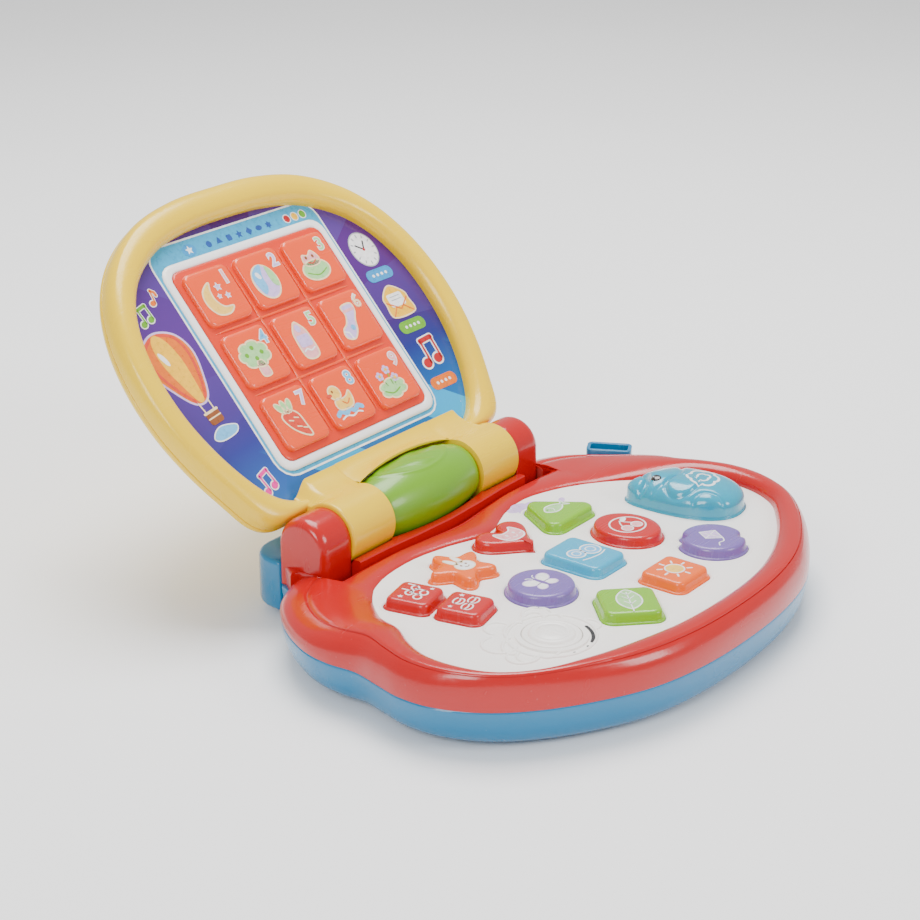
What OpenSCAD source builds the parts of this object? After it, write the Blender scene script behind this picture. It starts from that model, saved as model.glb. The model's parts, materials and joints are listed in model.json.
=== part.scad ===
// Toddler's toy laptop: a low two-part base with shape buttons, a mouse-shaped key
// and a dial, and a lid with a tiled picture screen that swings on a barrel hinge.
// Millimetres, +Z up, front of the toy towards -Y, user's right towards +X.

/* [Lid] */
// Angle of the opened lid above the table, in degrees
lid_lean = 47.4; // [40:0.1:60]
// Length of the lid from the hinge axis to its far edge
lid_reach = 188; // [186:1:190]
// Depth of the lid behind the hinge axis plane
lid_back = 20; // [20:0.5:22]
// Depth at which the front bezel meets the back shell
lid_parting = 12; // [12:0.1:12.5]
// Depth of the printed screen panel behind the hinge axis plane
panel_depth = 9.8; // [9.8:0.1:10]
// Side of the square orange window
window_size = 110; // [106:1:112]
// Distance between neighbouring picture tiles
tile_pitch = 36; // [35:0.5:36.5]
// Side of one picture tile
tile_size = 30.5; // [28:0.5:32]

/* [Base] */
// Height of the hinge axis above the table
hinge_h = 42; // [42:0.5:44]
// Height of the seam between the blue and the red shell
seam_h = 21; // [21:0.5:22]
// Height of the crest of the red rim
rim_h = 38; // [37:0.5:39]
// How far the red rim dips beside the hinge
rim_dip = 5; // [3:0.5:5.5]
// Height of the top of the white keyboard plate
plate_h = 31.5; // [31:0.5:32]
// Thickness of the keyboard plate
plate_t = 2.4; // [2:0.2:2.6]
// Thickness of the moulded shells
wall = 2.2; // [1.8:0.1:2.4]
// How far the rubber feet stand below the blue shell
foot_drop = 1.2; // [1:0.1:1.4]

/* [Hinge] */
// Radius of the yellow lid barrels
barrel_r = 16.3; // [15.5:0.1:16.5]
// Radius of the red knuckles
knuckle_r = 14.5; // [13.5:0.1:14.6]
// Largest radius of the green centre cover
cover_r = 19.4; // [18:0.1:19.6]
// Radius of the hinge pins
pin_r = 3; // [2.5:0.1:3.5]
// Radial running clearance of the lid barrels on the pins
pin_play = 0.06; // [0.02:0.01:0.1]

/* [Keys] */
// Height of the button tops above the plate
key_rise = 5.5; // [4:0.5:6]
// Gap all round between a button and its hole
key_gap = 0.35; // [0.25:0.05:0.5]
// Travel of a button
key_travel = 2.2; // [1.5:0.1:2.4]
// Height of the mouse key's back above the plate
mouse_rise = 15; // [12:0.5:15]
// Radius of the volume dial
dial_r = 13.5; // [12:0.5:14]

/* [Hidden] */
$fn = 48;

// Colours
yellow = [0.98, 0.80, 0.20];
red = [0.84, 0.12, 0.10];
blue = [0.00, 0.50, 0.75];
green = [0.52, 0.74, 0.26];
white = [0.95, 0.94, 0.92];
orange = [0.96, 0.48, 0.12];
purple = [0.52, 0.43, 0.74];
sky = [0.30, 0.70, 0.86];
steel = [0.75, 0.76, 0.78];
board_green = [0.05, 0.38, 0.20];
rubber_grey = [0.30, 0.30, 0.32];

// The lid's furthest point behind the hinge, and the origin's place: the centre of the
// open toy's footprint, so that the hinge line stands at y = hinge_y.
lid_edge_r = 8;
lid_sweep = (lid_reach - lid_edge_r) * cos(lid_lean) + (lid_back - lid_edge_r) * sin(lid_lean)
  + lid_edge_r;
base_front = 193.5;
hinge_y = (base_front - lid_sweep) / 2;
shell_floor = foot_drop;
floor_top = shell_floor + wall;

// Half outline of the base at its seam, from the front centre round the right side.
side_half = [[0, -193.5], [36, -191.5], [67, -184.5], [94, -171], [116, -155], [131, -138],
  [139.5, -119], [141, -102], [138, -87], [135, -73], [136, -57], [133, -41], [123, -22],
  [109, -7]];
// The red shell turns in front of the hinge, the blue one goes on behind it.
red_half = concat(side_half, [[90, 0.5], [88, -9], [87.6, -19], [70, -20], [45, -20.5],
  [25, -22], [0, -23]]);
blue_half = concat(side_half, [[93, 3.5], [90, 7.5], [86.5, 12], [70, 14], [45, 14],
  [22, 14], [0, 14]]);
// Outline of the white plate, point for point beside red_half and its mirror image.
plate_loop = [[0, -176], [32, -174.5], [60, -168], [85, -157.5], [104, -146], [116, -136],
  [124, -121], [126, -103], [121, -88], [112, -78], [105.5, -71], [100.5, -65.5],
  [95, -60], [90, -55.5], [85.5, -52], [81.5, -49], [76, -45.5], [64, -39.5],
  [45, -34.5], [24, -37.5],
  [0, -46], [-24, -39], [-45, -35], [-66, -36], [-80, -40], [-86, -43.5], [-90, -46.5],
  [-94, -50], [-99, -56], [-104, -63], [-107, -70], [-110, -79], [-118, -91],
  [-124, -106], [-124, -124], [-119, -141], [-106, -153], [-88, -159.5], [-66, -166],
  [-34, -173.5]];
// Half outline of the lid and of its opening, from the hinge side up to the far edge.
lid_half = [[0, 21.6], [22, 19.3], [40, 16], [66.5, 15.4], [84, 15.7], [94, 22], [101, 37],
  [108.5, 57], [113.5, 80], [114, 104], [109.5, 128], [99, 150], [82, 168], [58, 181],
  [30, 187], [0, lid_reach]];
opening_half = [[0, 30.5], [22, 27.5], [38, 23.5], [54, 21.5], [68, 23.5], [79, 31],
  [88, 45], [95, 63], [99, 82], [99.5, 103], [96, 122], [87.5, 140], [73.5, 154.5],
  [52, 165.5], [27, 170], [0, 171]];

// Key places relative to the middle of the hinge line
star_at = [-45, -63];
heart_at = [-4, -62];
triangle_at = [35, -60];
circle_at = [-38, -104];
rectangle_at = [1, -101];
oval_at = [40, -100];
diamond_at = [-29, -146];
square_at = [11, -145];
moon_at = [54, -140];
music_at = [-79, -77];
music_turn = 13;
mouse_at = [93, -103];
mouse_turn = 10;
dial_at = [-71, -133];

key_top = plate_h + key_rise;
plate_under = plate_h - plate_t;
key_foot = plate_under - 0.2;
flange_t = 2.6;
flange_w = 1.3;
stem_len = 2;
board_top = key_foot - flange_t - stem_len - key_travel - 3.7;
membrane_t = 1;
screw_r = 1.4;
hinge_end = 86.6;
knuckle_in = 66.6;
barrel_in = 35.6;
barrel_out = 66.2;

// ---- Curves -----------------------------------------------------------------------

// Mirror a half outline, given from one point on the centre line to the other.
function both_sides(half) = concat(half,
  [for (i = [len(half) - 2:-1:1]) [-half[i][0], half[i][1]]]);

// Point at t (0 to 1) of a Catmull-Rom curve between b and c.
function curve_point(a, b, c, d, t) = 0.5 * ((2 * b) + (c - a) * t
  + (2 * a - 5 * b + 4 * c - d) * t * t + (3 * b - a - 3 * c + d) * t * t * t);

// Smooth closed curve through the points, with n steps between neighbours.
function smooth_loop(p, n) = [for (i = [0:len(p) - 1], k = [0:n - 1])
  let (m = len(p)) curve_point(p[(i + m - 1) % m], p[i], p[(i + 1) % m], p[(i + 2) % m], k / n)];

// Loop that lies at share w of the way from loop a to loop b.
function between(a, b, w) = [for (i = [0:len(a) - 1]) a[i] * (1 - w) + b[i] * w];

// Loop shrunk towards a centre.
function shrink(a, centre, k) = [for (q = a) centre + (q - centre) * k];

// The same loop as 3-D points at height z.
function lift(a, z) = [for (q = a) [q[0], q[1], z]];

// Rounded convex outline: arcs of radius r about the corners, which run anticlockwise.
function turn_of(a, b) = atan2(b[1] - a[1], b[0] - a[0]) - 90;
function rounded(corners, r, n = 6) = [for (i = [0:len(corners) - 1])
  let (m = len(corners), q = corners[i],
    a0 = turn_of(corners[(i + m - 1) % m], q),
    a1 = turn_of(q, corners[(i + 1) % m]),
    span = (a1 - a0 + 720) % 360)
  for (k = [0:n]) q + r * [cos(a0 + span * k / n), sin(a0 + span * k / n)]];

// Outlines of the keys, each grown by g.
function star_line(g) = [for (a = [0:6:354]) (14.6 + 3.4 * cos(5 * (a - 90)) + g)
  * [cos(a), sin(a)]];
function heart_line(g) = let (k = (1 + g / 16) * 1.06) [for (t = [0:6:354])
  [-16 * pow(sin(t), 3) * k, (13 * cos(t) - 5 * cos(2 * t) - 2 * cos(3 * t) - cos(4 * t) + 2.3)
  * k]];
function triangle_line(g) = rounded([[-1, 9.5], [-11.5, -8.5], [12, -8.5]], 6.5 + g);
function oval_line(g) = [for (a = [0:7.5:359]) [(16.2 + g) * cos(a), (18.6 + g) * sin(a)]];
function rectangle_line(g) = rounded([[-8.5, -12], [8.5, -12], [8.5, 12], [-8.5, 12]], 5.5 + g);
function diamond_line(g) = rounded([[0, -12.5], [12.5, 0], [0, 12.5], [-12.5, 0]], 6 + g);
function square_line(g) = rounded([[-9, -8], [9, -8], [9, 8], [-9, 8]], 5 + g);
// Disc with two notches where the horns of a crescent end.
function notch(a, at) = exp(-pow((a - at) / 9, 2));
function moon_line(g) = [for (a = [0:6:354]) (17 - 3 * notch(a, 120) - 3 * notch(a, 318) + g)
  * [cos(a), sin(a)]];
function music_line(g) = rounded([[-7, -7], [7, -7], [7, 7], [-7, 7]], 5 + g);
// Mouse key: a long oval with a trunk-like bump at its head end.
function mouse_line(g) = [for (a = [0:6:354])
  let (c = cos(a), s = sin(a), bump = 5 * exp(-pow((a - 112) / 22, 2)))
  (1 / pow(pow(abs(c) / 20.5, 2.4) + pow(abs(s) / 28, 2.4), 1 / 2.4) + bump + g) * [c, s]];

// ---- Solids from loops --------------------------------------------------------------

// Closed solid through rings of equal length. The profile runs up the outside and down
// the inside; a solid of revolution-like form has a point at each end of the profile.
module loft(rings, start_pole = undef, end_pole = undef) {
  n = len(rings[0]);
  m = len(rings);
  poled = start_pole != undef;
  points = concat([for (ring = rings, q = ring) q], poled ? [start_pole, end_pole] : []);
  walls = [for (s = [0:m - (poled ? 2 : 1)], i = [0:n - 1])
    let (a = s * n + i, b = s * n + (i + 1) % n, up = (s + 1) % m * n,
      c = up + (i + 1) % n, d = up + i)
    each [[a, d, c], [a, c, b]]];
  caps = poled ? [for (i = [0:n - 1]) each [[m * n, i, (i + 1) % n],
    [(m - 1) * n + i, m * n + 1, (m - 1) * n + (i + 1) % n]]] : [];
  polyhedron(points = points, faces = concat(walls, caps));
}

// Places for the base, measured from the middle of the hinge line on the table.
module in_base() {
  translate([0, hinge_y, 0]) children();
}

// Places for the lid: X along the hinge, Y up the lid, Z out of its front.
module in_lid() {
  translate([0, hinge_y, hinge_h]) rotate([lid_lean, 0, 0]) children();
}

module along_x(from, to, r) {
  translate([from, 0, 0]) rotate([0, 90, 0]) cylinder(r = r, h = to - from);
}

module box(low, high) {
  translate(low) cube(high - low);
}

// ---- Base ---------------------------------------------------------------------------

blue_loop = smooth_loop(both_sides(blue_half), 3);
red_loop = smooth_loop(both_sides(red_half), 3);
white_loop = smooth_loop(plate_loop, 3);
base_centre = [0, -92];

box_low = [-29.5, -51, floor_top];
box_high = [29.5, -4, 19.6];
box_wall = 1.6;
door_gap = 0.3;
speaker_at = [78, -70];
speaker_r = 20;
foot_spots = [[-100, -35], [100, -35], [-82, -150], [82, -150]];
foot_r = 7;
screw_spots = [[-112, -52], [112, -52], [-116, -112], [116, -112], [-48, -172], [48, -172]];
door_screw_at = [0, -54.8];
tab_half = 6;
tab_front = -60;

module base_bottom_shell() {
  rings = [lift(shrink(blue_loop, base_centre, 0.90), shell_floor),
    lift(shrink(blue_loop, base_centre, 0.935), shell_floor + 1.2),
    lift(shrink(blue_loop, base_centre, 0.965), shell_floor + 4.2),
    lift(shrink(blue_loop, base_centre, 0.985), shell_floor + 9),
    lift(shrink(blue_loop, base_centre, 0.996), seam_h - 5),
    lift(shrink(blue_loop, base_centre, 1), seam_h),
    lift(shrink(blue_loop, base_centre, 0.982), seam_h),
    lift(shrink(blue_loop, base_centre, 0.968), shell_floor + 9),
    lift(shrink(blue_loop, base_centre, 0.94), shell_floor + 4.4),
    lift(shrink(blue_loop, base_centre, 0.88), floor_top)];
  color(blue) in_base() difference() {
    loft(rings, [base_centre[0], base_centre[1], shell_floor],
      [base_centre[0], base_centre[1], floor_top]);
    box([box_low[0] + box_wall, box_low[1] + box_wall, 0],
      [box_high[0] - box_wall, box_high[1] - box_wall, floor_top + 1]);
    box([-tab_half - door_gap, tab_front - door_gap, 0],
      [tab_half + door_gap, box_low[1] + box_wall + 1, floor_top + 1]);
    loop_hole();
    for (dy = [-12:6:12])
      box([speaker_at[0] - 13, speaker_at[1] + dy - 1.2, 0],
        [speaker_at[0] + 13, speaker_at[1] + dy + 1.2, floor_top + 1]);
    for (q = screw_spots)
      translate([q[0], q[1], 0]) cylinder(r = screw_r, h = floor_top + 1, $fn = 24);
  }
}

// Profile of the red rim: share of the way in from the outer wall, and height below the
// crest.
rim_out = [[0, 17], [0, 12.5], [0.025, 8.8], [0.09, 5.2], [0.2, 2.2], [0.36, 0.3], [0.5, 0],
  [0.66, 0.2], [0.82, 1.3], [0.94, 3.1], [1, 5.6], [1, 8.9]];
rim_in = [[0.86, 8.9], [0.86, 6.2], [0.72, 3.4], [0.5, 2.5], [0.34, 3], [0.2, 5.2],
  [0.13, 10], [0.13, 17]];

// The rim dips smoothly towards the hinge: dip_at is how far its crest is down at y.
function dip_share(y) = min(1, max(0, (y + 80) / 50));
function dip_at(y) = rim_dip * pow(dip_share(y), 2) * (3 - 2 * dip_share(y));
// Ring of the rim: its outer part dips above the seam, its inner part above the plate's
// underside.
function rim_ring(share, z) = let (foot = share < 0.5 ? seam_h : plate_under)
  [for (q = between(red_loop, white_loop, share))
    [q[0], q[1], z - dip_at(q[1]) * (z - foot) / (rim_h - foot)]];

module base_top_shell() {
  color(red) in_base() difference() {
    loft([for (p = concat(rim_out, rim_in)) rim_ring(p[0], rim_h - p[1])]);
    loop_hole();
  }
}

// Radius of the green centre cover at distance x from the middle.
function cover_radius(x) = cover_r - 3.8 * pow(x / barrel_in, 2);

// Revolved barrel about the X axis; grow makes it fatter.
module barrel_form(half, grow) {
  rotate([0, 90, 0]) rotate_extrude($fn = 64)
    polygon(concat([[0, -half]],
      [for (k = [-8:8]) [cover_radius(half * k / 8) + grow, half * k / 8]], [[0, half]]));
}

cradle_back = 14;
cradle_half = [[0, -22.7], [25, -21.7], [45, -20.2], [70, -19.7], [hinge_end, -18.8]];

module hinge_cradle() {
  color(red) in_base() difference() {
    union() {
      translate([0, 0, seam_h]) linear_extrude(13) polygon(both_sides(concat(cradle_half,
        [[hinge_end, cradle_back], [0, cradle_back]])));
      for (side = [-1, 1]) translate([side > 0 ? knuckle_in : -hinge_end, 0, 0]) {
        translate([0, 0, hinge_h]) along_x(0, hinge_end - knuckle_in, knuckle_r);
        box([0, -knuckle_r, seam_h], [hinge_end - knuckle_in, cradle_back, hinge_h]);
      }
      // Low shelves that close the corners between the two shells
      for (side = [0, 1]) mirror([side, 0, 0]) translate([0, 0, seam_h]) linear_extrude(2)
        polygon([[86, -12], [87.2, -9.5], [87, -4], [88.2, 0.6], [91.5, 2.2], [89, 6.2],
          [86, 10.5]]);
    }
    translate([0, 0, hinge_h]) {
      along_x(-knuckle_in, knuckle_in, barrel_r + 1.5);
      barrel_form(barrel_in + 1, 0.9);
      along_x(-hinge_end + 4, -knuckle_in, pin_r);
      along_x(knuckle_in, hinge_end - 4, pin_r);
    }
    // Hollow underside of the two knuckles, open to the blue shell
    for (side = [-1, 1]) translate([side * (knuckle_in + hinge_end) / 2, 0, 0])
      box([-7.5, -12, seam_h - 1], [7.5, 12, hinge_h - 8]);
    // Slot that holds the foot of the green cover
    box([-12, -5, seam_h - 1], [12, 5, seam_h + 3]);
  }
}

module key_holes() {
  translate(star_at) polygon(star_line(key_gap));
  translate(heart_at) polygon(heart_line(key_gap));
  translate(triangle_at) polygon(triangle_line(key_gap));
  translate(circle_at) circle(r = 17 + key_gap);
  translate(rectangle_at) polygon(rectangle_line(key_gap));
  translate(oval_at) polygon(oval_line(key_gap));
  translate(diamond_at) polygon(diamond_line(key_gap));
  translate(square_at) polygon(square_line(key_gap));
  translate(moon_at) polygon(moon_line(key_gap));
  for (s = [-1, 1]) translate(music_at) rotate(music_turn)
    translate([0, s * 12.6]) polygon(music_line(key_gap));
  translate(mouse_at) rotate(mouse_turn) polygon(mouse_line(key_gap));
  translate(dial_at) circle(r = dial_r + key_gap);
}

board_posts = [[-66, -106], [66, -118], [-12, -124], [22, -80]];
dial_ring = 2.6;

module keyboard_plate() {
  color(white) in_base() {
    translate([0, 0, plate_under]) linear_extrude(plate_t) difference() {
      polygon(white_loop);
      key_holes();
    }
    translate([dial_at[0], dial_at[1], plate_h]) difference() {
      cylinder(r = dial_r + key_gap + dial_ring, h = 1);
      translate([0, 0, -1]) cylinder(r = dial_r + key_gap, h = 3);
    }
    for (q = board_posts) translate([q[0], q[1], board_top])
      cylinder(r = 2.6, h = plate_under - board_top, $fn = 24);
  }
}

// Carry handle: a bar across the back on two arms, hollowed to a rounded channel.
handle_end = 86;
handle_out = 36;
handle_bar = 9;

module carry_handle() {
  color(blue) in_base() {
    outer = rounded([[-handle_end + 16, cradle_back - 16], [handle_end - 16, cradle_back - 16],
      [handle_end - 16, handle_out - 16], [-handle_end + 16, handle_out - 16]], 16);
    inner = rounded([[-handle_end + 22, cradle_back - 16], [handle_end - 22, cradle_back - 16],
      [handle_end - 22, handle_out - 22], [-handle_end + 22, handle_out - 22]], 22 - handle_bar);
    translate([0, 0, 5]) linear_extrude(26) difference() {
      polygon(outer);
      polygon(inner);
      translate([-handle_end - 1, -20]) square([2 * handle_end + 2, 20 + cradle_back]);
    }
  }
}

// Upright strap loop, let into the side wall so that it follows the outline.
loop_at = [128, -31];
loop_turn = 28;
loop_low = 9;
loop_high = 33;

module strap_loop() {
  color(blue) in_base() translate([loop_at[0], loop_at[1], loop_low]) rotate(loop_turn)
    linear_extrude(loop_high - loop_low) difference() {
      polygon(rounded([[-3, -9], [3, -9], [3, 9], [-3, 9]], 3));
      polygon(rounded([[-2.7, -8.7], [2.7, -8.7], [2.7, 8.7], [-2.7, 8.7]], 1.2));
    }
}

module loop_hole() {
  translate([loop_at[0], loop_at[1], loop_low]) rotate(loop_turn)
    linear_extrude(rim_h) polygon(rounded([[-3, -9], [3, -9], [3, 9], [-3, 9]], 3.1));
}

module rubber_feet() {
  color(rubber_grey) in_base() for (q = foot_spots) translate([q[0], q[1], 0])
    cylinder(r = foot_r, h = shell_floor);
}

module battery_door() {
  color(blue) in_base() {
    box([box_low[0] + box_wall + door_gap, box_low[1] + box_wall + door_gap, shell_floor],
      [box_high[0] - box_wall - door_gap, box_high[1] - box_wall - door_gap, floor_top - 0.2]);
    difference() {
      box([-tab_half, tab_front, shell_floor],
        [tab_half, box_low[1] + box_wall + door_gap, floor_top - 0.2]);
      translate([door_screw_at[0], door_screw_at[1], 0])
        cylinder(r = screw_r, h = floor_top + 1, $fn = 24);
    }
  }
}

module screw(length, head_r = 2.8) {
  cylinder(r = screw_r, h = length, $fn = 24);
  translate([0, 0, -1]) difference() {
    cylinder(r = head_r, h = 1, $fn = 24);
    for (a = [0, 90]) rotate(a) box([-1.6, -0.35, -1], [1.6, 0.35, 0.5]);
  }
}

module battery_door_screw() {
  color(steel) in_base() translate([door_screw_at[0], door_screw_at[1], shell_floor])
    screw(8);
}

module base_screws() {
  color(steel) in_base() for (q = screw_spots) translate([q[0], q[1], shell_floor]) screw(12);
}

cell_r = 7.15;
cell_len = 50;
cell_z = floor_top + 0.4 + cell_r;
cell_ys = [-42, -27.5, -13];

module battery_box() {
  color(white) in_base() difference() {
    union() {
      box(box_low, box_high);
      translate([door_screw_at[0], door_screw_at[1], floor_top]) cylinder(r = 4, h = 9);
    }
    translate([door_screw_at[0], door_screw_at[1], floor_top - 1])
      cylinder(r = screw_r, h = 9, $fn = 24);
    box(box_low + [box_wall, box_wall, -1], box_high - [box_wall, box_wall, 1.2]);
  }
}

module batteries() {
  color(steel) in_base() for (y = cell_ys) translate([-cell_len / 2, y, cell_z]) {
    along_x(0, cell_len - 1.2, cell_r);
    along_x(cell_len - 1.2, cell_len, 2.7);
  }
}

module battery_contacts() {
  color(steel) in_base() for (y = cell_ys, side = [-1, 1])
    translate([side * (box_high[0] - box_wall - 0.4) - 0.4, y, cell_z])
      box([0, -4.5, -4.5], [0.8, 4.5, 4.5]);
}

module main_circuit_board() {
  color(board_green) in_base() translate([0, 0, board_top - 1.6])
    linear_extrude(1.6) polygon(rounded([[-88, -152], [84, -152], [96, -120], [62, -58],
      [-62, -58], [-90, -80]], 4));
}

module sound_chip() {
  color([0.1, 0.1, 0.1]) in_base() translate([-10, -110, board_top - 1.6]) {
    box([-9, -7, -2.4], [9, 7, 0]);
    translate([26, 4, -2]) cylinder(r = 4, h = 2);
    for (k = [0:3]) box([-30, -8 + 6 * k, -1.2], [-26, -5 + 6 * k, 0]);
  }
}

dome_spots = [star_at, heart_at, triangle_at, circle_at, rectangle_at, oval_at, diamond_at,
  square_at, moon_at, mouse_at];

module key_membrane() {
  color(rubber_grey) in_base() translate([0, 0, board_top]) difference() {
    union() {
      linear_extrude(membrane_t) polygon(rounded([[-86, -150], [82, -150], [93, -120],
        [60, -60], [-60, -60], [-87, -80]], 3));
      for (q = dome_spots) translate([q[0], q[1], 0])
        cylinder(r1 = 5, r2 = 3.4, h = membrane_t + 1, $fn = 24);
    }
    for (q = board_posts) translate([q[0], q[1], -1]) cylinder(r = 3, h = 4, $fn = 24);
  }
}

module speaker_frame() {
  color(steel) in_base() translate([speaker_at[0], speaker_at[1], floor_top]) {
    difference() {
      cylinder(r = speaker_r, h = 3);
      translate([0, 0, -1]) cylinder(r = speaker_r - 3, h = 5);
    }
    translate([0, 0, 3]) difference() {
      cylinder(r1 = speaker_r - 1, r2 = 10, h = 4);
      translate([0, 0, -0.01]) cylinder(r1 = speaker_r - 3, r2 = 8.6, h = 4.02);
    }
    translate([0, 0, 7]) cylinder(r = 9.6, h = 4.4);
  }
}

module speaker_cone() {
  color([0.12, 0.12, 0.13]) in_base() translate([speaker_at[0], speaker_at[1], floor_top + 0.6])
    rotate_extrude() polygon([[0, 0.6], [6, 0.6], [8, 2.4], [15, 0], [16.9, 0], [16.9, 0.8],
      [15, 0.8], [8, 3.4], [6, 1.4], [0, 1.4]]);
}

module hinge_pin(side) {
  inner = barrel_in + 1.6;
  outer = hinge_end - 4;
  color(steel) in_base() translate([side > 0 ? inner : -outer, 0, hinge_h])
    along_x(0, outer - inner, pin_r);
}

module hinge_pin_left() { hinge_pin(-1); }
module hinge_pin_right() { hinge_pin(1); }

module hinge_cover() {
  color(green) in_base() {
    translate([0, 0, hinge_h]) difference() {
      barrel_form(barrel_in - 0.6, 0);
      barrel_form(barrel_in + 1, -wall);
    }
    box([-11.8, -4.8, seam_h + 0.2], [11.8, 4.8, hinge_h - cover_r + 3]);
  }
}

// ---- Keys ---------------------------------------------------------------------------

// A key: flange under the plate, straight sides, a stepped crown, and a stem. Its three
// children are its outline grown by flange_w, at its own size, and drawn in by 1.
module key(at, stem = true) {
  in_base() translate([at[0], at[1], 0]) {
    translate([0, 0, key_foot - flange_t]) linear_extrude(flange_t) children(0);
    translate([0, 0, key_foot]) linear_extrude(key_top - key_foot - 1.2) children(1);
    translate([0, 0, key_top - 1.2]) linear_extrude(1.2) children(2);
    if (stem) translate([0, 0, key_foot - flange_t - stem_len])
      cylinder(r = 3, h = stem_len, $fn = 24);
  }
}

module star_button() {
  color(orange) key(star_at) {
    polygon(star_line(flange_w));
    polygon(star_line(0));
    polygon(star_line(-1));
  }
}

module heart_button() {
  color(red) key(heart_at) {
    polygon(heart_line(flange_w));
    polygon(heart_line(0));
    polygon(heart_line(-1));
  }
}

module triangle_button() {
  color(green) key(triangle_at) {
    polygon(triangle_line(flange_w));
    polygon(triangle_line(0));
    polygon(triangle_line(-1));
  }
}

module circle_button() {
  color(purple) key(circle_at) {
    circle(r = 17 + flange_w);
    circle(r = 17);
    circle(r = 16);
  }
}

module rectangle_button() {
  color(sky) key(rectangle_at) {
    polygon(rectangle_line(flange_w));
    polygon(rectangle_line(0));
    polygon(rectangle_line(-1));
  }
}

module oval_button() {
  color(red) key(oval_at) {
    polygon(oval_line(flange_w));
    polygon(oval_line(0));
    polygon(oval_line(-1));
  }
}

module diamond_button() {
  color(green) key(diamond_at) {
    polygon(diamond_line(flange_w));
    polygon(diamond_line(0));
    polygon(diamond_line(-1));
  }
}

module square_button() {
  color(orange) key(square_at) {
    polygon(square_line(flange_w));
    polygon(square_line(0));
    polygon(square_line(-1));
  }
}

module moon_button() {
  color(purple) key(moon_at) {
    polygon(moon_line(flange_w));
    polygon(moon_line(0));
    polygon(moon_line(-1));
  }
}

// One of the two music keys, which share a broken rectangle turned by music_turn.
module music_key(side) {
  in_base() translate([music_at[0], music_at[1], 0]) rotate(music_turn)
    translate([0, side * 12.6, 0]) {
      translate([0, 0, key_foot - flange_t]) linear_extrude(flange_t)
        polygon(rounded([[-7, -6.6], [7, -6.6], [7, 6.6], [-7, 6.6]], 5.7));
      translate([0, 0, key_foot]) linear_extrude(key_top - key_foot - 1.2)
        polygon(music_line(0));
      translate([0, 0, key_top - 1.2]) linear_extrude(1.2) polygon(music_line(-1));
    }
}

module music_key_back() { color(red) music_key(1); }
module music_key_front() { color(red) music_key(-1); }

// Crown of the mouse key: rings that close in as they rise.
mouse_crown = [0, 18, 34, 50, 64, 76];

module mouse_key() {
  wall_top = plate_h + 5;
  crown = plate_h + mouse_rise - wall_top;
  centre = [0, 0];
  color(sky) in_base() translate([mouse_at[0], mouse_at[1], 0]) rotate(mouse_turn) {
    loft(concat([lift(mouse_line(0), key_foot)],
      [for (a = mouse_crown) lift(shrink(mouse_line(0), centre, pow(cos(a), 0.75)),
        wall_top + crown * sin(a))]),
      [0, 0, key_foot], [0, 0, wall_top + crown]);
    translate([0, 0, key_foot - flange_t]) linear_extrude(flange_t)
      polygon(mouse_line(flange_w));
    translate([0, 0, key_foot - flange_t - stem_len]) cylinder(r = 3, h = stem_len, $fn = 24);
  }
}

module volume_dial() {
  color(white) in_base() translate([dial_at[0], dial_at[1], 0]) {
    translate([0, 0, key_foot - 2]) cylinder(r = dial_r + flange_w, h = 2);
    translate([0, 0, key_foot]) cylinder(r = dial_r, h = plate_h + 1.4 - key_foot);
    translate([0, 0, plate_h + 1.4]) cylinder(r1 = dial_r - 3, r2 = dial_r - 4.4, h = 1.6);
  }
}

// ---- Lid ----------------------------------------------------------------------------

lid_loop = smooth_loop(both_sides(lid_half), 4);
opening_loop = smooth_loop(both_sides(opening_half), 4);
lid_centre = [0, 100];
window_y = 96.5;
frame_w = 4.6;

// Profile of the yellow rim: share of the way in from the edge, and depth.
bezel_out = [[0, lid_parting], [0, 7], [0.06, 4], [0.18, 2], [0.4, 1], [0.58, 1], [0.78, 1.9],
  [0.92, 3.8], [1, 6.4], [1, panel_depth]];
bezel_in = [[0.84, panel_depth], [0.82, 6.4], [0.6, 3.4], [0.4, 3.3], [0.22, 5], [0.16, 8],
  [0.15, lid_parting]];

module lid_front_bezel() {
  color(yellow) in_lid() difference() {
    union() {
      loft([for (p = concat(bezel_out, bezel_in)) lift(between(lid_loop, opening_loop, p[0]),
        -p[1])]);
      for (side = [-1, 1]) {
        along_x(side > 0 ? barrel_in : -barrel_out, side > 0 ? barrel_out : -barrel_in, barrel_r);
        box([side > 0 ? barrel_in + 0.6 : -barrel_out + 0.2, 4, -lid_parting],
          [side > 0 ? barrel_out - 0.2 : -barrel_in - 0.6, 19, -3]);
      }
    }
    for (side = [-1, 1]) along_x(side > 0 ? barrel_in - 1 : -barrel_out - 1,
      side > 0 ? barrel_out + 1 : -barrel_in + 1, pin_r + pin_play);
  }
}

module lid_back_shell() {
  rings = [lift(shrink(lid_loop, lid_centre, 0.90), -lid_back),
    lift(shrink(lid_loop, lid_centre, 0.94), -lid_back + 0.4),
    lift(shrink(lid_loop, lid_centre, 0.972), -lid_back + 1.8),
    lift(shrink(lid_loop, lid_centre, 0.992), -lid_back + 4),
    lift(lid_loop, -lid_parting - 2),
    lift(lid_loop, -lid_parting),
    lift(shrink(lid_loop, lid_centre, 0.98), -lid_parting),
    lift(shrink(lid_loop, lid_centre, 0.97), -lid_back + 4.4),
    lift(shrink(lid_loop, lid_centre, 0.93), -lid_back + 2.4),
    lift(shrink(lid_loop, lid_centre, 0.88), -lid_back + 2)];
  color(yellow) in_lid() difference() {
    loft(rings, [lid_centre[0], lid_centre[1], -lid_back],
      [lid_centre[0], lid_centre[1], -lid_back + 2]);
    for (q = lid_screw_spots) translate([q[0], q[1], -lid_back - 1])
      cylinder(r = screw_r, h = 4, $fn = 24);
  }
}

lid_screw_spots = [[-86, 60], [86, 60], [-86, 132], [86, 132], [-50, 30], [50, 30]];

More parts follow.
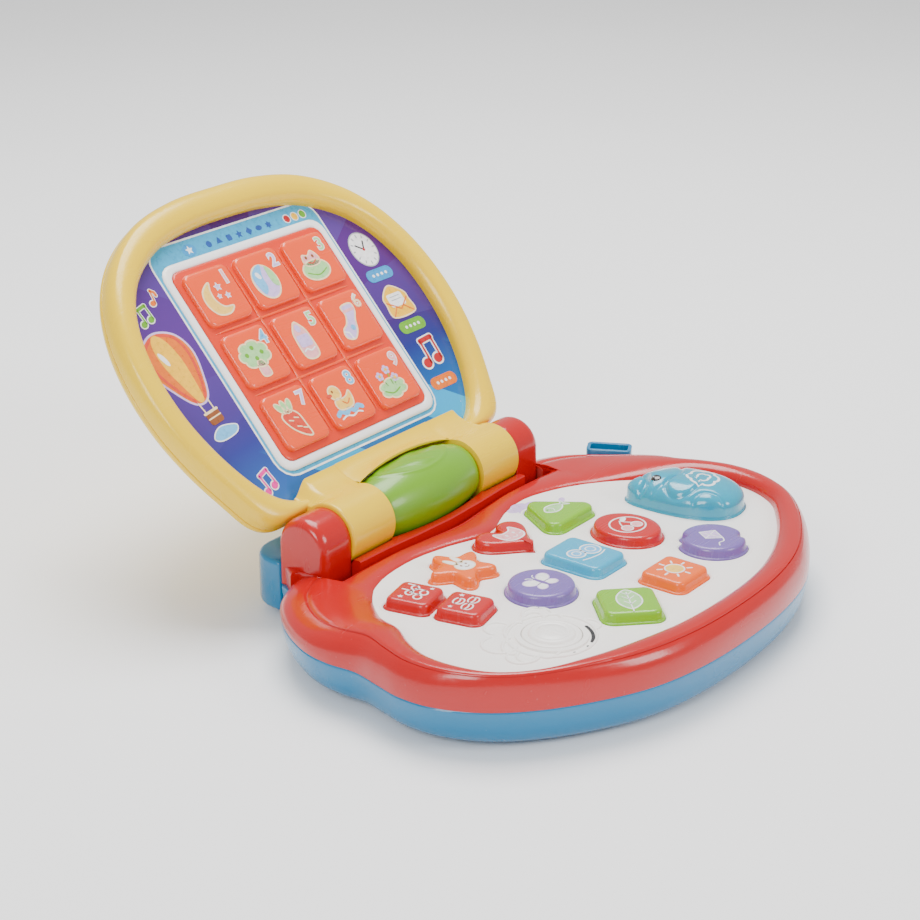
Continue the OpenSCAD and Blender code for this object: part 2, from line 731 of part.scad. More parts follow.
module lid_screws() {
  color(steel) in_lid() for (q = lid_screw_spots) translate([q[0], q[1], -lid_back]) screw(7);
}

module screen_panel() {
  half = window_size / 2;
  color([0.35, 0.20, 0.62]) in_lid() translate([0, 0, -panel_depth - 2])
    linear_extrude(2) difference() {
      polygon(between(lid_loop, opening_loop, 0.9));
      translate([-half, window_y - half]) square(window_size);
    }
}

module window_frame() {
  half = window_size / 2;
  color(white) in_lid() translate([0, 0, -panel_depth]) linear_extrude(1.2) difference() {
    polygon(rounded([[-half + 2, window_y - half + 2], [half - 2, window_y - half + 2],
      [half - 2, window_y + half - 2], [-half + 2, window_y + half - 2]], 2 + frame_w));
    translate([-half, window_y - half]) square(window_size);
  }
}

tile_rise = 2.7;
tile_r = 3;

module screen_window() {
  half = window_size / 2 - 0.1;
  core = tile_size / 2 - tile_r;
  color(orange) in_lid() {
    box([-half, window_y - half, -panel_depth - 2], [half, window_y + half, -panel_depth + 1.6]);
    for (i = [-1:1], j = [-1:1]) translate([i * tile_pitch, window_y + j * tile_pitch,
      -panel_depth + 1.6])
      linear_extrude(tile_rise) polygon(rounded([[-core, -core], [core, -core], [core, core],
        [-core, core]], tile_r));
  }
}

module light_diffuser() {
  color(white) in_lid() box([-56, window_y - 56, -panel_depth - 3.2],
    [56, window_y + 56, -panel_depth - 2]);
}

module light_board() {
  color(board_green) in_lid() box([-56, window_y - 56, -lid_back + 2.2],
    [56, window_y + 56, -lid_back + 3.6]);
}

module screen_lights() {
  color(white) in_lid() for (i = [-1:1], j = [-1:1])
    translate([i * tile_pitch, window_y + j * tile_pitch, -lid_back + 3.6])
      cylinder(r1 = 2.6, r2 = 1.8, h = 1.4, $fn = 24);
}

base_bottom_shell();
base_top_shell();
hinge_cradle();
keyboard_plate();
carry_handle();
strap_loop();
rubber_feet();
battery_door();
battery_door_screw();
battery_box();
batteries();
battery_contacts();
base_screws();
main_circuit_board();
sound_chip();
key_membrane();
speaker_frame();
speaker_cone();
hinge_pin_left();
hinge_pin_right();
hinge_cover();
star_button();
heart_button();
triangle_button();
circle_button();
rectangle_button();
oval_button();
diamond_button();
square_button();
moon_button();
music_key_back();
music_key_front();
mouse_key();
volume_dial();
lid_front_bezel();
lid_back_shell();
screen_panel();
window_frame();
screen_window();
light_diffuser();
light_board();
screen_lights();
lid_screws();
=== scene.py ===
"""Looks of a toddler's toy laptop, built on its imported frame.

Lengths inside the builders are millimetres measured from the middle of the hinge line:
base places are (x, y, height above the table) and lid places are (x, up the lid, out of
its front). Placing turns both into metres in the row frame.
"""

import json
import logging
import math
from dataclasses import dataclass, field
from enum import Enum
from typing import Callable, Iterable, Sequence

import bmesh
import bpy
import numpy as np
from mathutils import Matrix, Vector

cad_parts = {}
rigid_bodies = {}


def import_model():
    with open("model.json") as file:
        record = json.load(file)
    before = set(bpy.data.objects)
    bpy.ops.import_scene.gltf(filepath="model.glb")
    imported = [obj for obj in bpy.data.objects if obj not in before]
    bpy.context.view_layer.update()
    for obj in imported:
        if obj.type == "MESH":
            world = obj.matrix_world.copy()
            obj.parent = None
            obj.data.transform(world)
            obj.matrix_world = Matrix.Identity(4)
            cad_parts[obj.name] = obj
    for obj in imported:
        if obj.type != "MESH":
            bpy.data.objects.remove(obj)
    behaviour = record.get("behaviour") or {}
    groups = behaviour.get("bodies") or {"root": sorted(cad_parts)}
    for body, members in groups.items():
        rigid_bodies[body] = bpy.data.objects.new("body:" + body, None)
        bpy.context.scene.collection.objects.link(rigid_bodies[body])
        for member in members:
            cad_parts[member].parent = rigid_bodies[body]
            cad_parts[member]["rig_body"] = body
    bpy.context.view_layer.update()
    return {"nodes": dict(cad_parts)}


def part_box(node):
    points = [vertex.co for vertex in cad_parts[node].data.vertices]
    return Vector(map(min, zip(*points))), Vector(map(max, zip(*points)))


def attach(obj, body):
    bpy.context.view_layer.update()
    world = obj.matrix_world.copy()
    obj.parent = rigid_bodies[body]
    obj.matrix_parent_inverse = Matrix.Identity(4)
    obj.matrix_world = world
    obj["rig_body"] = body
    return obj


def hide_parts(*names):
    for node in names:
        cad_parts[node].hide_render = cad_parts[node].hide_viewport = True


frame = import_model()
LOG = logging.getLogger("toy_laptop")

Place = Callable[[np.ndarray], np.ndarray]
Solid = tuple[np.ndarray, list]


# ---- Curves and surfaces ----------------------------------------------------------------


def smooth_loop(points: Sequence, steps: int = 10) -> np.ndarray:
    """Closed Catmull-Rom curve: each span is the cubic through its two ends whose slopes
    are half the difference of their neighbours.

    Args:
        points: control points, one per row.
        steps: samples per span.

    Returns:
        Samples of the curve, one per row.
    """
    b = np.asarray(points, float)
    a, c, d = np.roll(b, 1, 0), np.roll(b, -1, 0), np.roll(b, -2, 0)
    t = np.linspace(0, 1, steps, endpoint=False)[None, :, None]
    a, b, c, d = (q[:, None, :] for q in (a, b, c, d))
    curve = 2 * b + (c - a) * t + (2 * a - 5 * b + 4 * c - d) * t**2
    return (0.5 * (curve + (3 * b - a - 3 * c + d) * t**3)).reshape(-1, b.shape[2])


def smooth_path(points: Sequence, steps: int = 5) -> np.ndarray:
    """Open Catmull-Rom curve through the points, with its end points repeated.

    Args:
        points: control points, one per row.
        steps: samples per span.

    Returns:
        Samples of the curve, first and last control points included.
    """
    p = np.asarray(points, float)
    p = np.vstack([p[:1], p, p[-1:]])
    a, b, c, d = (q[:, None, :] for q in (p[:-3], p[1:-2], p[2:-1], p[3:]))
    t = np.linspace(0, 1, steps, endpoint=False)[None, :, None]
    curve = 2 * b + (c - a) * t + (2 * a - 5 * b + 4 * c - d) * t**2
    curve = 0.5 * (curve + (3 * b - a - 3 * c + d) * t**3)
    return np.vstack([curve.reshape(-1, p.shape[1]), p[-1:]])


def both_sides(half: Sequence) -> np.ndarray:
    """Adds the mirror image of a half outline that starts and ends on the centre line.

    Args:
        half: points from the centre line round to the centre line.

    Returns:
        Closed loop.
    """
    h = np.asarray(half, float)
    return np.vstack([h, h[-2:0:-1] * [-1, 1]])


def resample(loop: np.ndarray, count: int) -> np.ndarray:
    """Closed loop with its points set at equal distances along its length.

    Args:
        loop: closed loop of 2-D points.
        count: number of points wanted.

    Returns:
        The new loop.
    """
    q = np.vstack([loop, loop[:1]])
    run = np.concatenate([[0], np.cumsum(np.linalg.norm(np.diff(q, axis=0), axis=1))])
    at = np.linspace(0, run[-1], count, endpoint=False)
    return np.column_stack([np.interp(at, run, q[:, k]) for k in (0, 1)])


def rounded(corners: Sequence, radius: float, count: int = 96) -> np.ndarray:
    """Convex polygon with arcs of one radius about its corners, at equal spacing.

    Args:
        corners: arc centres in anticlockwise order.
        radius: radius of the arcs.
        count: number of points.

    Returns:
        Closed loop.
    """
    c = np.asarray(corners, float)
    came, went = c - np.roll(c, 1, 0), np.roll(c, -1, 0) - c
    first = np.arctan2(came[:, 1], came[:, 0]) - np.pi / 2
    span = np.mod(np.arctan2(went[:, 1], went[:, 0]) - np.pi / 2 - first, 2 * np.pi)
    a = first[:, None] + span[:, None] * np.linspace(0, 1, 17)[None, :]
    arcs = c[:, None, :] + radius * np.stack([np.cos(a), np.sin(a)], 2)
    return resample(arcs.reshape(-1, 2), count)


def outward(loop: np.ndarray, closed: bool = True) -> np.ndarray:
    """Unit normals on the right of the travel, which is outside an anticlockwise loop.

    Args:
        loop: plane points in order.
        closed: whether the last point joins the first.

    Returns:
        One unit normal for each point.
    """
    if closed:
        t = np.roll(loop, -1, 0) - np.roll(loop, 1, 0)
    else:
        t = np.gradient(loop, axis=0)
    t = t / np.maximum(np.linalg.norm(t, axis=1, keepdims=True), 1e-9)
    return np.column_stack([t[:, 1], -t[:, 0]])


def anticlockwise(loop: np.ndarray) -> np.ndarray:
    """The loop, turned round if its enclosed area is negative.

    Args:
        loop: closed plane loop.

    Returns:
        Loop whose enclosed area is positive.
    """
    x, y = loop[:, 0], loop[:, 1]
    area = np.sum(x * np.roll(y, -1) - np.roll(x, -1) * y)
    return loop if area > 0 else loop[::-1].copy()


def ellipse(x: float, y: float, rx: float, ry: float, turn: float = 0, count: int = 40) -> np.ndarray:
    """Ellipse about (x, y) with half axes rx and ry, turned by an angle in degrees.

    Args:
        x, y: middle.
        rx, ry: half axes.
        turn: degrees, anticlockwise.
        count: number of points.

    Returns:
        Closed plane loop.
    """
    a = np.linspace(0, 2 * np.pi, count, endpoint=False)
    p = np.column_stack([rx * np.cos(a), ry * np.sin(a)])
    return p @ turning(turn).T + [x, y]


def turning(degrees: float) -> np.ndarray:
    """Matrix that turns 2-D points anticlockwise.

    Args:
        degrees: angle to turn by.

    Returns:
        Matrix of two rows and two columns.
    """
    c, s = math.cos(math.radians(degrees)), math.sin(math.radians(degrees))
    return np.array([[c, -s], [s, c]])


def lifted(loop: np.ndarray, height: float) -> np.ndarray:
    """Plane loop as 3-D points at one height.

    Args:
        loop: plane points.
        height: height that all of them get.

    Returns:
        Points in space.
    """
    return np.column_stack([loop, np.full(len(loop), height)])


def loft(rings: Sequence, ends: Sequence | None = None) -> Solid:
    """Skin over equal rings; with ends the first and last ring close on a point, and
    without them the last ring joins the first.

    Args:
        rings: loops of 3-D points, all with as many points.
        ends: the two pole points, or None for a surface that closes on itself.

    Returns:
        Points and faces.
    """
    r = np.asarray(rings, float)
    m, n, _ = r.shape
    i = np.arange(n)
    j = (i + 1) % n
    rows = np.arange(m if ends is None else m - 1)[:, None]
    nxt = (rows + 1) % m
    quads = np.stack([rows * n + i, rows * n + j, nxt * n + j, nxt * n + i], 2)
    points, faces = r.reshape(-1, 3), quads.reshape(-1, 4).tolist()
    if ends is not None:
        points = np.vstack([points, np.asarray(ends, float)])
        faces += np.column_stack([j, i, np.full(n, m * n)]).tolist()
        last = (m - 1) * n
        faces += np.column_stack([last + i, last + j, np.full(n, m * n + 1)]).tolist()
    return points, faces


def prism(loop: np.ndarray, low: float, high: float) -> Solid:
    """Upright slab with the loop as its outline, between two heights.

    Args:
        loop: outline.
        low, high: heights of the two caps.

    Returns:
        Closed solid.
    """
    loop = anticlockwise(loop)
    n = len(loop)
    i = np.arange(n)
    j = (i + 1) % n
    walls = np.column_stack([i, j, n + j, n + i]).tolist()
    caps = [i[::-1].tolist(), (n + i).tolist()]
    return np.vstack([lifted(loop, low), lifted(loop, high)]), walls + caps


def ribbon(path: np.ndarray, width: float, low: float, high: float, closed: bool) -> Solid:
    """Flat stroke along a path, with half-round ends where the path is open.

    Args:
        path: points of the middle line.
        width: width of the stroke.
        low: height of its underside.
        high: height of its top.
        closed: whether the last point joins the first.

    Returns:
        Points and faces.
    """
    side = outward(path, closed) * width / 2
    if closed:
        out, inner = path + side, path - side
        return loft([lifted(out, low), lifted(out, high), lifted(inner, high), lifted(inner, low)])
    a = np.linspace(0, np.pi, 7)[1:-1]
    first, last = side[0], side[-1]

    def cap(centre: np.ndarray, start: np.ndarray) -> np.ndarray:
        """Half circle that starts at the given side and runs round the end."""
        c, s = np.cos(a)[:, None], np.sin(a)[:, None]
        return centre + start * c + np.array([-start[1], start[0]]) * s

    loop = np.vstack([path + side, cap(path[-1], last), (path - side)[::-1], cap(path[0], -first)])
    return prism(loop, low, high)


def bead(path: np.ndarray, width: float, rise: float, base: float, closed: bool = True) -> Solid:
    """Half-round moulding along a path: its section is half an ellipse over a flat foot.

    Args:
        path: points of the middle line in the plane.
        width: width at the foot.
        rise: height of the crown above base.
        base: height of the foot, sunk 0.3 into the surface below.
        closed: whether the path is a loop.

    Returns:
        Points and faces.
    """
    side = outward(path, closed)
    a = np.linspace(0, np.pi, 9)
    across = np.concatenate([[width / 2], width / 2 * np.cos(a), [-width / 2]])
    up = np.concatenate([[-0.3], rise * np.sin(a), [-0.3]])
    if closed:
        rings = [lifted(path + side * q, base + z) for q, z in zip(across, up)]
        return loft(rings)
    taper = np.sqrt(np.clip(1 - np.linspace(-1, 1, len(path)) ** 6, 0.02, 1))[:, None]
    rings = [np.column_stack([path + side * q * taper, base + z * taper[:, 0]]) for q, z in zip(across, up)]
    rings = np.swapaxes(np.asarray(rings), 0, 1)
    ends = [rings[0].mean(0), rings[-1].mean(0)]
    return loft(rings, ends)


def revolve(profile: Sequence, centre: Sequence = (0, 0), count: int = 96) -> Solid:
    """Turned form about an upright axis, from (radius, height) pairs between two poles.

    Args:
        profile: (radius, height) pairs.
        centre: place of the axis.
        count: points in each ring.

    Returns:
        Closed solid.
    """
    p = np.asarray(profile, float)
    a = np.linspace(0, 2 * np.pi, count, endpoint=False)
    ring = np.stack([np.cos(a), np.sin(a)], 1)
    rings = [np.column_stack([centre + ring * r, np.full(count, z)]) for r, z in p]
    return loft(rings, [(*centre, p[0, 1]), (*centre, p[-1, 1])])


def joined(parts: Iterable[Solid]) -> Solid:
    """Several solids as one list of points and one of faces.

    Args:
        parts: solids to put together.

    Returns:
        One solid.
    """
    points, faces, shift = [], [], 0
    for p, f in parts:
        points.append(p)
        faces += [[k + shift for k in face] for face in f]
        shift += len(p)
    return np.vstack(points), faces


# ---- Placing and making pieces ----------------------------------------------------------


@dataclass(frozen=True)
class Placing:
    """Where the hinge line runs, and the lean of the opened lid."""

    hinge: tuple[float, float]
    lean: float = 47.4

    def base(self, p: np.ndarray) -> np.ndarray:
        """Base places to metres in the row frame."""
        return np.column_stack([p[:, 0], p[:, 1], p[:, 2]]) * 0.001 + [0, self.hinge[0], 0]

    def lid(self, p: np.ndarray) -> np.ndarray:
        """Lid places to metres: the up and out directions turn with the lid's lean."""
        turned = p[:, 1:3] @ turning(self.lean).T * 0.001
        return np.column_stack([p[:, 0] * 0.001, turned + self.hinge])


def find_placing() -> Placing:
    """Hinge line from the middle of the left pin.

    Returns:
        Placing of the hinge line.
    """
    low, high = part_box("hinge_pin_left")
    middle = (low + high) / 2
    return Placing((middle.y, middle.z))


def make_piece(name: str, solid: Solid, place: Place, body: str, material: bpy.types.Material,
               crease: float = 40) -> bpy.types.Object:
    """Mesh object with outward faces that rides on a body.

    Args:
        name: name of the piece.
        solid: points and faces in millimetres.
        place: turns the points into metres in the row frame.
        body: body that it rides on.
        material: its finish.
        crease: angle in degrees above which an edge shades sharp.

    Returns:
        The new object.
    """
    points, faces = solid
    mesh = bpy.data.meshes.new(name)
    mesh.from_pydata(place(points).tolist(), [], faces)
    work = bmesh.new()
    work.from_mesh(mesh)
    bmesh.ops.remove_doubles(work, verts=work.verts, dist=1e-6)
    bmesh.ops.recalc_face_normals(work, faces=work.faces)
    work.to_mesh(mesh)
    work.free()
    mesh.shade_smooth()
    mesh.set_sharp_from_angle(angle=math.radians(crease))
    mesh.materials.append(material)
    piece = bpy.data.objects.new(name, mesh)
    bpy.context.scene.collection.objects.link(piece)
    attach(piece, body)
    LOG.info("%s rides on %s with %d faces", name, body, len(mesh.polygons))
    return piece


def apply_modifiers(piece: bpy.types.Object) -> None:
    """Keeps the evaluated mesh as the piece's own and drops its modifiers.

    Args:
        piece: object whose modifiers are applied.
    """
    graph = bpy.context.evaluated_depsgraph_get()
    mesh = bpy.data.meshes.new_from_object(piece.evaluated_get(graph))
    piece.modifiers.clear()
    piece.data = mesh


def rounded_copy(node: str, name: str, width: float, material: bpy.types.Material) -> bpy.types.Object:
    """Copy of a CAD node with its flats merged and its edges rounded, which replaces it.

    Args:
        node: CAD node that is copied.
        name: name of the new piece.
        width: width of the edge rounding in millimetres.
        material: its finish.

    Returns:
        The new object.
    """
    source = frame["nodes"][node]
    mesh = source.data.copy()
    work = bmesh.new()
    work.from_mesh(mesh)
    bmesh.ops.remove_doubles(work, verts=work.verts, dist=2e-6)
    bmesh.ops.dissolve_limit(work, angle_limit=math.radians(1), verts=work.verts, edges=work.edges)
    work.to_mesh(mesh)
    work.free()
    mesh.materials.clear()
    mesh.materials.append(material)
    piece = bpy.data.objects.new(name, mesh)
    bpy.context.scene.collection.objects.link(piece)
    bevel = piece.modifiers.new("edge rounding", "BEVEL")
    bevel.width, bevel.segments = width * 0.001, 3
    bevel.limit_method, bevel.angle_limit = "ANGLE", math.radians(35)
    apply_modifiers(piece)
    piece.data.shade_smooth()
    piece.data.set_sharp_from_angle(angle=math.radians(45))
    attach(piece, source["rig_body"])
    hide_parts(node)
    LOG.info("%s is the rounded %s", name, node)
    return piece


def cut(piece: bpy.types.Object, cutters: Sequence[Solid], place: Place) -> None:
    """Takes closed solids out of a piece.

    Args:
        piece: object that is cut.
        cutters: solids in millimetres.
        place: turns their points into metres.
    """
    points, faces = joined(cutters)
    mesh = bpy.data.meshes.new("cutter")
    mesh.from_pydata(place(points).tolist(), [], faces)
    tool = bpy.data.objects.new("cutter", mesh)
    bpy.context.scene.collection.objects.link(tool)
    taking = piece.modifiers.new("cut", "BOOLEAN")
    taking.operation, taking.object, taking.solver = "DIFFERENCE", tool, "EXACT"
    apply_modifiers(piece)
    bpy.data.objects.remove(tool)
    piece.data.set_sharp_from_angle(angle=math.radians(40))


# ---- Finishes ---------------------------------------------------------------------------


class Graph:
    """Short hand for a node tree's nodes and links."""

    def __init__(self, tree: bpy.types.NodeTree) -> None:
        """Keeps the tree."""
        self.tree = tree

    def node(self, kind: str, inputs: dict | None = None, **settings: object) -> bpy.types.Node:
        """New node with its settings and its inputs, each a value or another socket.

        Args:
            kind: node type after the ShaderNode prefix.
            inputs: input name or number to value or socket.
            settings: attributes of the node.

        Returns:
            The node.
        """
        made = self.tree.nodes.new("ShaderNode" + kind)
        for key, value in settings.items():
            setattr(made, key, value)
        for key, value in (inputs or {}).items():
            if isinstance(value, bpy.types.NodeSocket):
                self.tree.links.new(value, made.inputs[key])
            else:
                made.inputs[key].default_value = value
        return made

    def math(self, operation: str, *values: object) -> bpy.types.NodeSocket:
        """Result socket of one Math node."""
        made = self.node("Math", dict(enumerate(values)), operation=operation)
        return made.outputs[0]

    def ramp(self, factor: bpy.types.NodeSocket, stops: Sequence) -> bpy.types.NodeSocket:
        """Colour of a ramp with (place, colour) stops.

        Args:
            factor: place on the ramp.
            stops: (place, colour) pairs.

        Returns:
            Colour socket.
        """
        made = self.node("ValToRGB", {0: factor})
        elements = made.color_ramp.elements
        while len(elements) < len(stops):
            elements.new(0.5)
        for element, (at, colour) in zip(elements, stops):
            element.position, element.color = at, (*colour, 1)
        return made.outputs[0]

    def mix(self, factor: object, a: object, b: object, kind: str = "MIX") -> bpy.types.NodeSocket:
        """Colour socket of a Mix node between a and b.

        Args:
            factor: share of b, as a number or socket.
            a, b: colours or sockets.
            kind: blend type of the node.

        Returns:
            Colour socket.
        """
        made = self.node("Mix", data_type="RGBA", blend_type=kind)
        for index, value in ((0, factor), (6, a), (7, b)):
            if isinstance(value, bpy.types.NodeSocket):
                self.tree.links.new(value, made.inputs[index])
            elif index:
                made.inputs[index].default_value = (*value, 1)
            else:
                made.inputs[index].default_value = value
        return made.outputs[2]


def new_group(name: str, inputs: Sequence, outputs: Sequence) -> tuple[Graph, bpy.types.Node,
                                                                       bpy.types.Node]:
    """Empty shader node group.

    Args:
        name: name of the group.
        inputs: (name, socket type, default) of each input.
        outputs: (name, socket type) of each output.

    Returns:
        Its graph, its input node and its output node.
    """
    tree = bpy.data.node_groups.new(name, "ShaderNodeTree")
    for label, kind, default in inputs:
        socket = tree.interface.new_socket(label, in_out="INPUT", socket_type=kind)
        socket.default_value = default
    for label, kind in outputs:
        tree.interface.new_socket(label, in_out="OUTPUT", socket_type=kind)
    return Graph(tree), tree.nodes.new("NodeGroupInput"), tree.nodes.new("NodeGroupOutput")


def moulding_group() -> bpy.types.NodeTree:
    """Injection-moulded skin: clouds of slightly darker and lighter colour, a fine
    orange-peel bump, hairline scuffs in the gloss, and paler worn edges.

    Returns:
        The node group.
    """
    g, start, end = new_group(
        "moulded skin",
        [("Color", "NodeSocketColor", (0.8, 0.8, 0.8, 1)), ("Drift", "NodeSocketFloat", 0.05),
         ("Gloss", "NodeSocketFloat", 0.2), ("Grain", "NodeSocketFloat", 0.02),
         ("Wear", "NodeSocketFloat", 0.2)],
        [("Color", "NodeSocketColor"), ("Roughness", "NodeSocketFloat"), ("Normal", "NodeSocketVector")])
    where = g.node("TexCoord").outputs["Object"]
    clouds = g.node("TexNoise", {"Vector": where, "Scale": 22.0, "Detail": 3.0}).outputs[0]
    away = g.math("MULTIPLY", g.math("SUBTRACT", clouds, 0.5), start.outputs["Drift"])
    shade = g.node("HueSaturation", {"Value": g.math("ADD", 1.0, away), "Color": start.outputs["Color"]})
    edge = g.node("NewGeometry").outputs["Pointiness"]
    worn = g.node("MapRange", {0: edge, 1: 0.56, 2: 0.72, 3: 0.0, 4: 1.0}).outputs[0]
    broken = g.node("TexNoise", {"Vector": where, "Scale": 160.0, "Detail": 4.0}).outputs[0]
    worn = g.math("MULTIPLY", g.math("MULTIPLY", worn, broken), start.outputs["Wear"])
    colour = g.mix(worn, shade.outputs[0], (1.0, 0.96, 0.9))
    stretched = g.node("Mapping",
                       {"Vector": where, "Scale": (30.0, 260.0, 90.0), "Rotation": (0.3, 0.2, 0.7)})
    hair = g.node("TexNoise", {"Vector": stretched.outputs[0], "Scale": 1.0, "Detail": 2.0}).outputs[0]
    scuff = g.node("MapRange", {0: hair, 1: 0.45, 2: 0.75, 3: 0.0, 4: 0.09}).outputs[0]
    rough = g.math("ADD", g.math("ADD", start.outputs["Gloss"], scuff), g.math("MULTIPLY", clouds, 0.06))
    peel = g.node("TexNoise", {"Vector": where, "Scale": 700.0, "Detail": 2.0}).outputs[0]
    wave = g.node("TexNoise", {"Vector": where, "Scale": 45.0, "Detail": 1.0}).outputs[0]
    height = g.math("ADD", peel, g.math("MULTIPLY", wave, 1.5))
    bump = g.node("Bump", {"Strength": 0.35, "Distance": 0.0004,
                           "Height": g.math("MULTIPLY", height, start.outputs["Grain"])})
    for name, socket in (("Color", colour), ("Roughness", rough), ("Normal", bump.outputs[0])):
        g.tree.links.new(socket, end.inputs[name])
    return g.tree


def dust_group() -> bpy.types.NodeTree:
    """Handling dust: small soft specks that gather in patches.

    Returns:
        The node group.
    """
    g, start, end = new_group(
        "handling dust", [("Amount", "NodeSocketFloat", 0.1), ("Scale", "NodeSocketFloat", 300.0)],
        [("Mask", "NodeSocketFloat")])
    where = g.node("TexCoord").outputs["Object"]
    cells = g.node("TexVoronoi", {"Vector": where, "Scale": start.outputs["Scale"]}).outputs[0]
    patches = g.node("TexNoise", {"Vector": where, "Scale": 30.0, "Detail": 4.0}).outputs[0]
    specks = g.node("MapRange", {0: cells, 1: 0.16, 2: 0.05, 3: 0.0, 4: 1.0}).outputs[0]
    there = g.node("MapRange", {0: patches, 1: 0.5, 2: 0.7, 3: 0.0, 4: 1.0}).outputs[0]
    mask = g.math("MULTIPLY", g.math("MULTIPLY", specks, there), start.outputs["Amount"])
    g.tree.links.new(mask, end.inputs["Mask"])
    return g.tree


GROUPS = {"skin": moulding_group(), "dust": dust_group()}


def blank_material(name: str) -> tuple[bpy.types.Material, Graph, bpy.types.Node]:
    """Material with its graph and its Principled node.

    Args:
        name: name of the material.

    Returns:
        Material, its graph and its shader node.
    """
    made = bpy.data.materials.new(name)
    made.use_nodes = True
    return made, Graph(made.node_tree), made.node_tree.nodes["Principled BSDF"]


@dataclass(frozen=True)
class Plastic:
    """Moulded plastic: colour, gloss, grain, and how much light it lets in."""

    name: str
    colour: tuple[float, float, float]
    gloss: float = 0.17
    drift: float = 0.07
    grain: float = 0.35
    wear: float = 0.16
    coat: float = 0.2
    depth: float = 0.0
    dust: float = 0.05

    def make(self) -> bpy.types.Material:
        """Builds the material, or gives back the one already made.

        Returns:
            The material.
        """
        if self.name in bpy.data.materials:
            return bpy.data.materials[self.name]
        made, g, shader = blank_material(self.name)
        skin = g.node("Group", node_tree=GROUPS["skin"])
        for key, value in (("Color", (*self.colour, 1)), ("Drift", self.drift), ("Gloss", self.gloss),
                           ("Grain", self.grain), ("Wear", self.wear)):
            skin.inputs[key].default_value = value
        dust = g.node("Group", node_tree=GROUPS["dust"])
        dust.inputs["Amount"].default_value = self.dust
        colour = g.mix(dust.outputs[0], skin.outputs["Color"], (0.82, 0.8, 0.76))
        rough = g.math("ADD", skin.outputs["Roughness"], g.math("MULTIPLY", dust.outputs[0], 0.5))
        for name, socket in (("Base Color", colour), ("Roughness", rough),
                             ("Normal", skin.outputs["Normal"])):
            g.tree.links.new(socket, shader.inputs[name])
        shader.inputs["Coat Weight"].default_value = self.coat
        shader.inputs["Coat Roughness"].default_value = 0.08
        shader.inputs["IOR"].default_value = 1.5
        if self.depth:
            shader.inputs["Subsurface Weight"].default_value = self.depth
            shader.inputs["Subsurface Radius"].default_value = (0.004, 0.002, 0.001)
            shader.inputs["Subsurface Scale"].default_value = 0.6
        return made


@dataclass(frozen=True)
class PrintedInk:
    """Pad-printed ink: an even colour, slightly thin in places, with a satin face."""

    name: str
    colour: tuple[float, float, float]
    thin: float = 0.06

    def make(self) -> bpy.types.Material:
        """Builds the material, or gives back the one already made.

        Returns:
            The material.
        """
        if self.name in bpy.data.materials:
            return bpy.data.materials[self.name]
        made, g, shader = blank_material(self.name)
        where = g.node("TexCoord").outputs["Object"]
        screen = g.node("TexNoise", {"Vector": where, "Scale": 420.0, "Detail": 3.0}).outputs[0]
        darker = tuple(c * (1 - self.thin * 2) for c in self.colour)
        lighter = tuple(min(1.0, c * (1 + self.thin)) for c in self.colour)
        g.tree.links.new(g.ramp(screen, [(0.3, darker), (0.7, lighter)]), shader.inputs["Base Color"])
        g.tree.links.new(g.math("ADD", 0.22, g.math("MULTIPLY", screen, 0.14)), shader.inputs["Roughness"])
        shader.inputs["Coat Weight"].default_value = 0.3
        return made


@dataclass(frozen=True)
class ScreenPrint:
    """Printed backdrop of the lid: rays of violet above that turn to blue below, each ray
    a step lighter or darker than the next."""

    name: str
    placing: Placing

    def make(self) -> bpy.types.Material:
        """Builds the material.

        Returns:
            The material.
        """
        made, g, shader = blank_material(self.name)
        where = g.node("SeparateXYZ", {0: g.node("TexCoord").outputs["Object"]})
        x, y, z = where.outputs
        c, s = math.cos(math.radians(self.placing.lean)), math.sin(math.radians(self.placing.lean))
        far = g.math("MULTIPLY", g.math("SUBTRACT", y, self.placing.hinge[0]), c)
        up = g.math("ADD", far, g.math("MULTIPLY", g.math("SUBTRACT", z, self.placing.hinge[1]), s))
        tilted = g.math("ADD", up, g.math("MULTIPLY", x, -0.10))
        tall = g.node("MapRange", {0: tilted, 1: 0.02, 2: 0.17}).outputs[0]
        ground = g.ramp(tall, [(0.0, (0.0, 0.16, 0.42)), (0.16, (0.0, 0.09, 0.32)),
                               (0.30, (0.01, 0.02, 0.18)),
                               (0.42, (0.045, 0.008, 0.13)), (0.7, (0.085, 0.012, 0.17)),
                               (1.0, (0.06, 0.006, 0.13))])
        turn = g.math("ARCTAN2", g.math("SUBTRACT", up, 0.096), x)
        step = g.math("FLOOR", g.math("ADD", g.math("MULTIPLY", turn, 2.6), g.math("MULTIPLY", up, 3.0)))
        tone = g.node("TexWhiteNoise", {"W": step}, noise_dimensions="1D").outputs[0]
        rays = g.mix(g.math("MULTIPLY", tone, 0.30), ground, (0.12, 0.10, 0.45))
        low = g.node("MapRange", {0: tilted, 1: 0.06, 2: 0.035}).outputs[0]
        band = g.math("GREATER_THAN",
                      g.math("SINE", g.math("ADD", g.math("MULTIPLY", x, 70.0),
                                            g.math("MULTIPLY", up, 95.0))), 0.35)
        cyan = g.mix(g.math("MULTIPLY", g.math("MULTIPLY", band, low), 0.75), rays, (0.0, 0.42, 0.78))
        dots = g.node("TexVoronoi",
                      {"Vector": g.node("TexCoord").outputs["Object"], "Scale": 90.0}).outputs[0]
        stars = g.math("MULTIPLY", g.math("LESS_THAN", dots, 0.045), 0.5)
        g.tree.links.new(g.mix(stars, cyan, (0.75, 0.7, 1.0)), shader.inputs["Base Color"])
        fine = g.node("TexNoise",
                      {"Vector": g.node("TexCoord").outputs["Object"], "Scale": 60.0}).outputs[0]
        g.tree.links.new(g.math("ADD", 0.10, g.math("MULTIPLY", fine, 0.12)), shader.inputs["Roughness"])
        shader.inputs["Coat Weight"].default_value = 0.15
        shader.inputs["Specular IOR Level"].default_value = 0.3
        return made


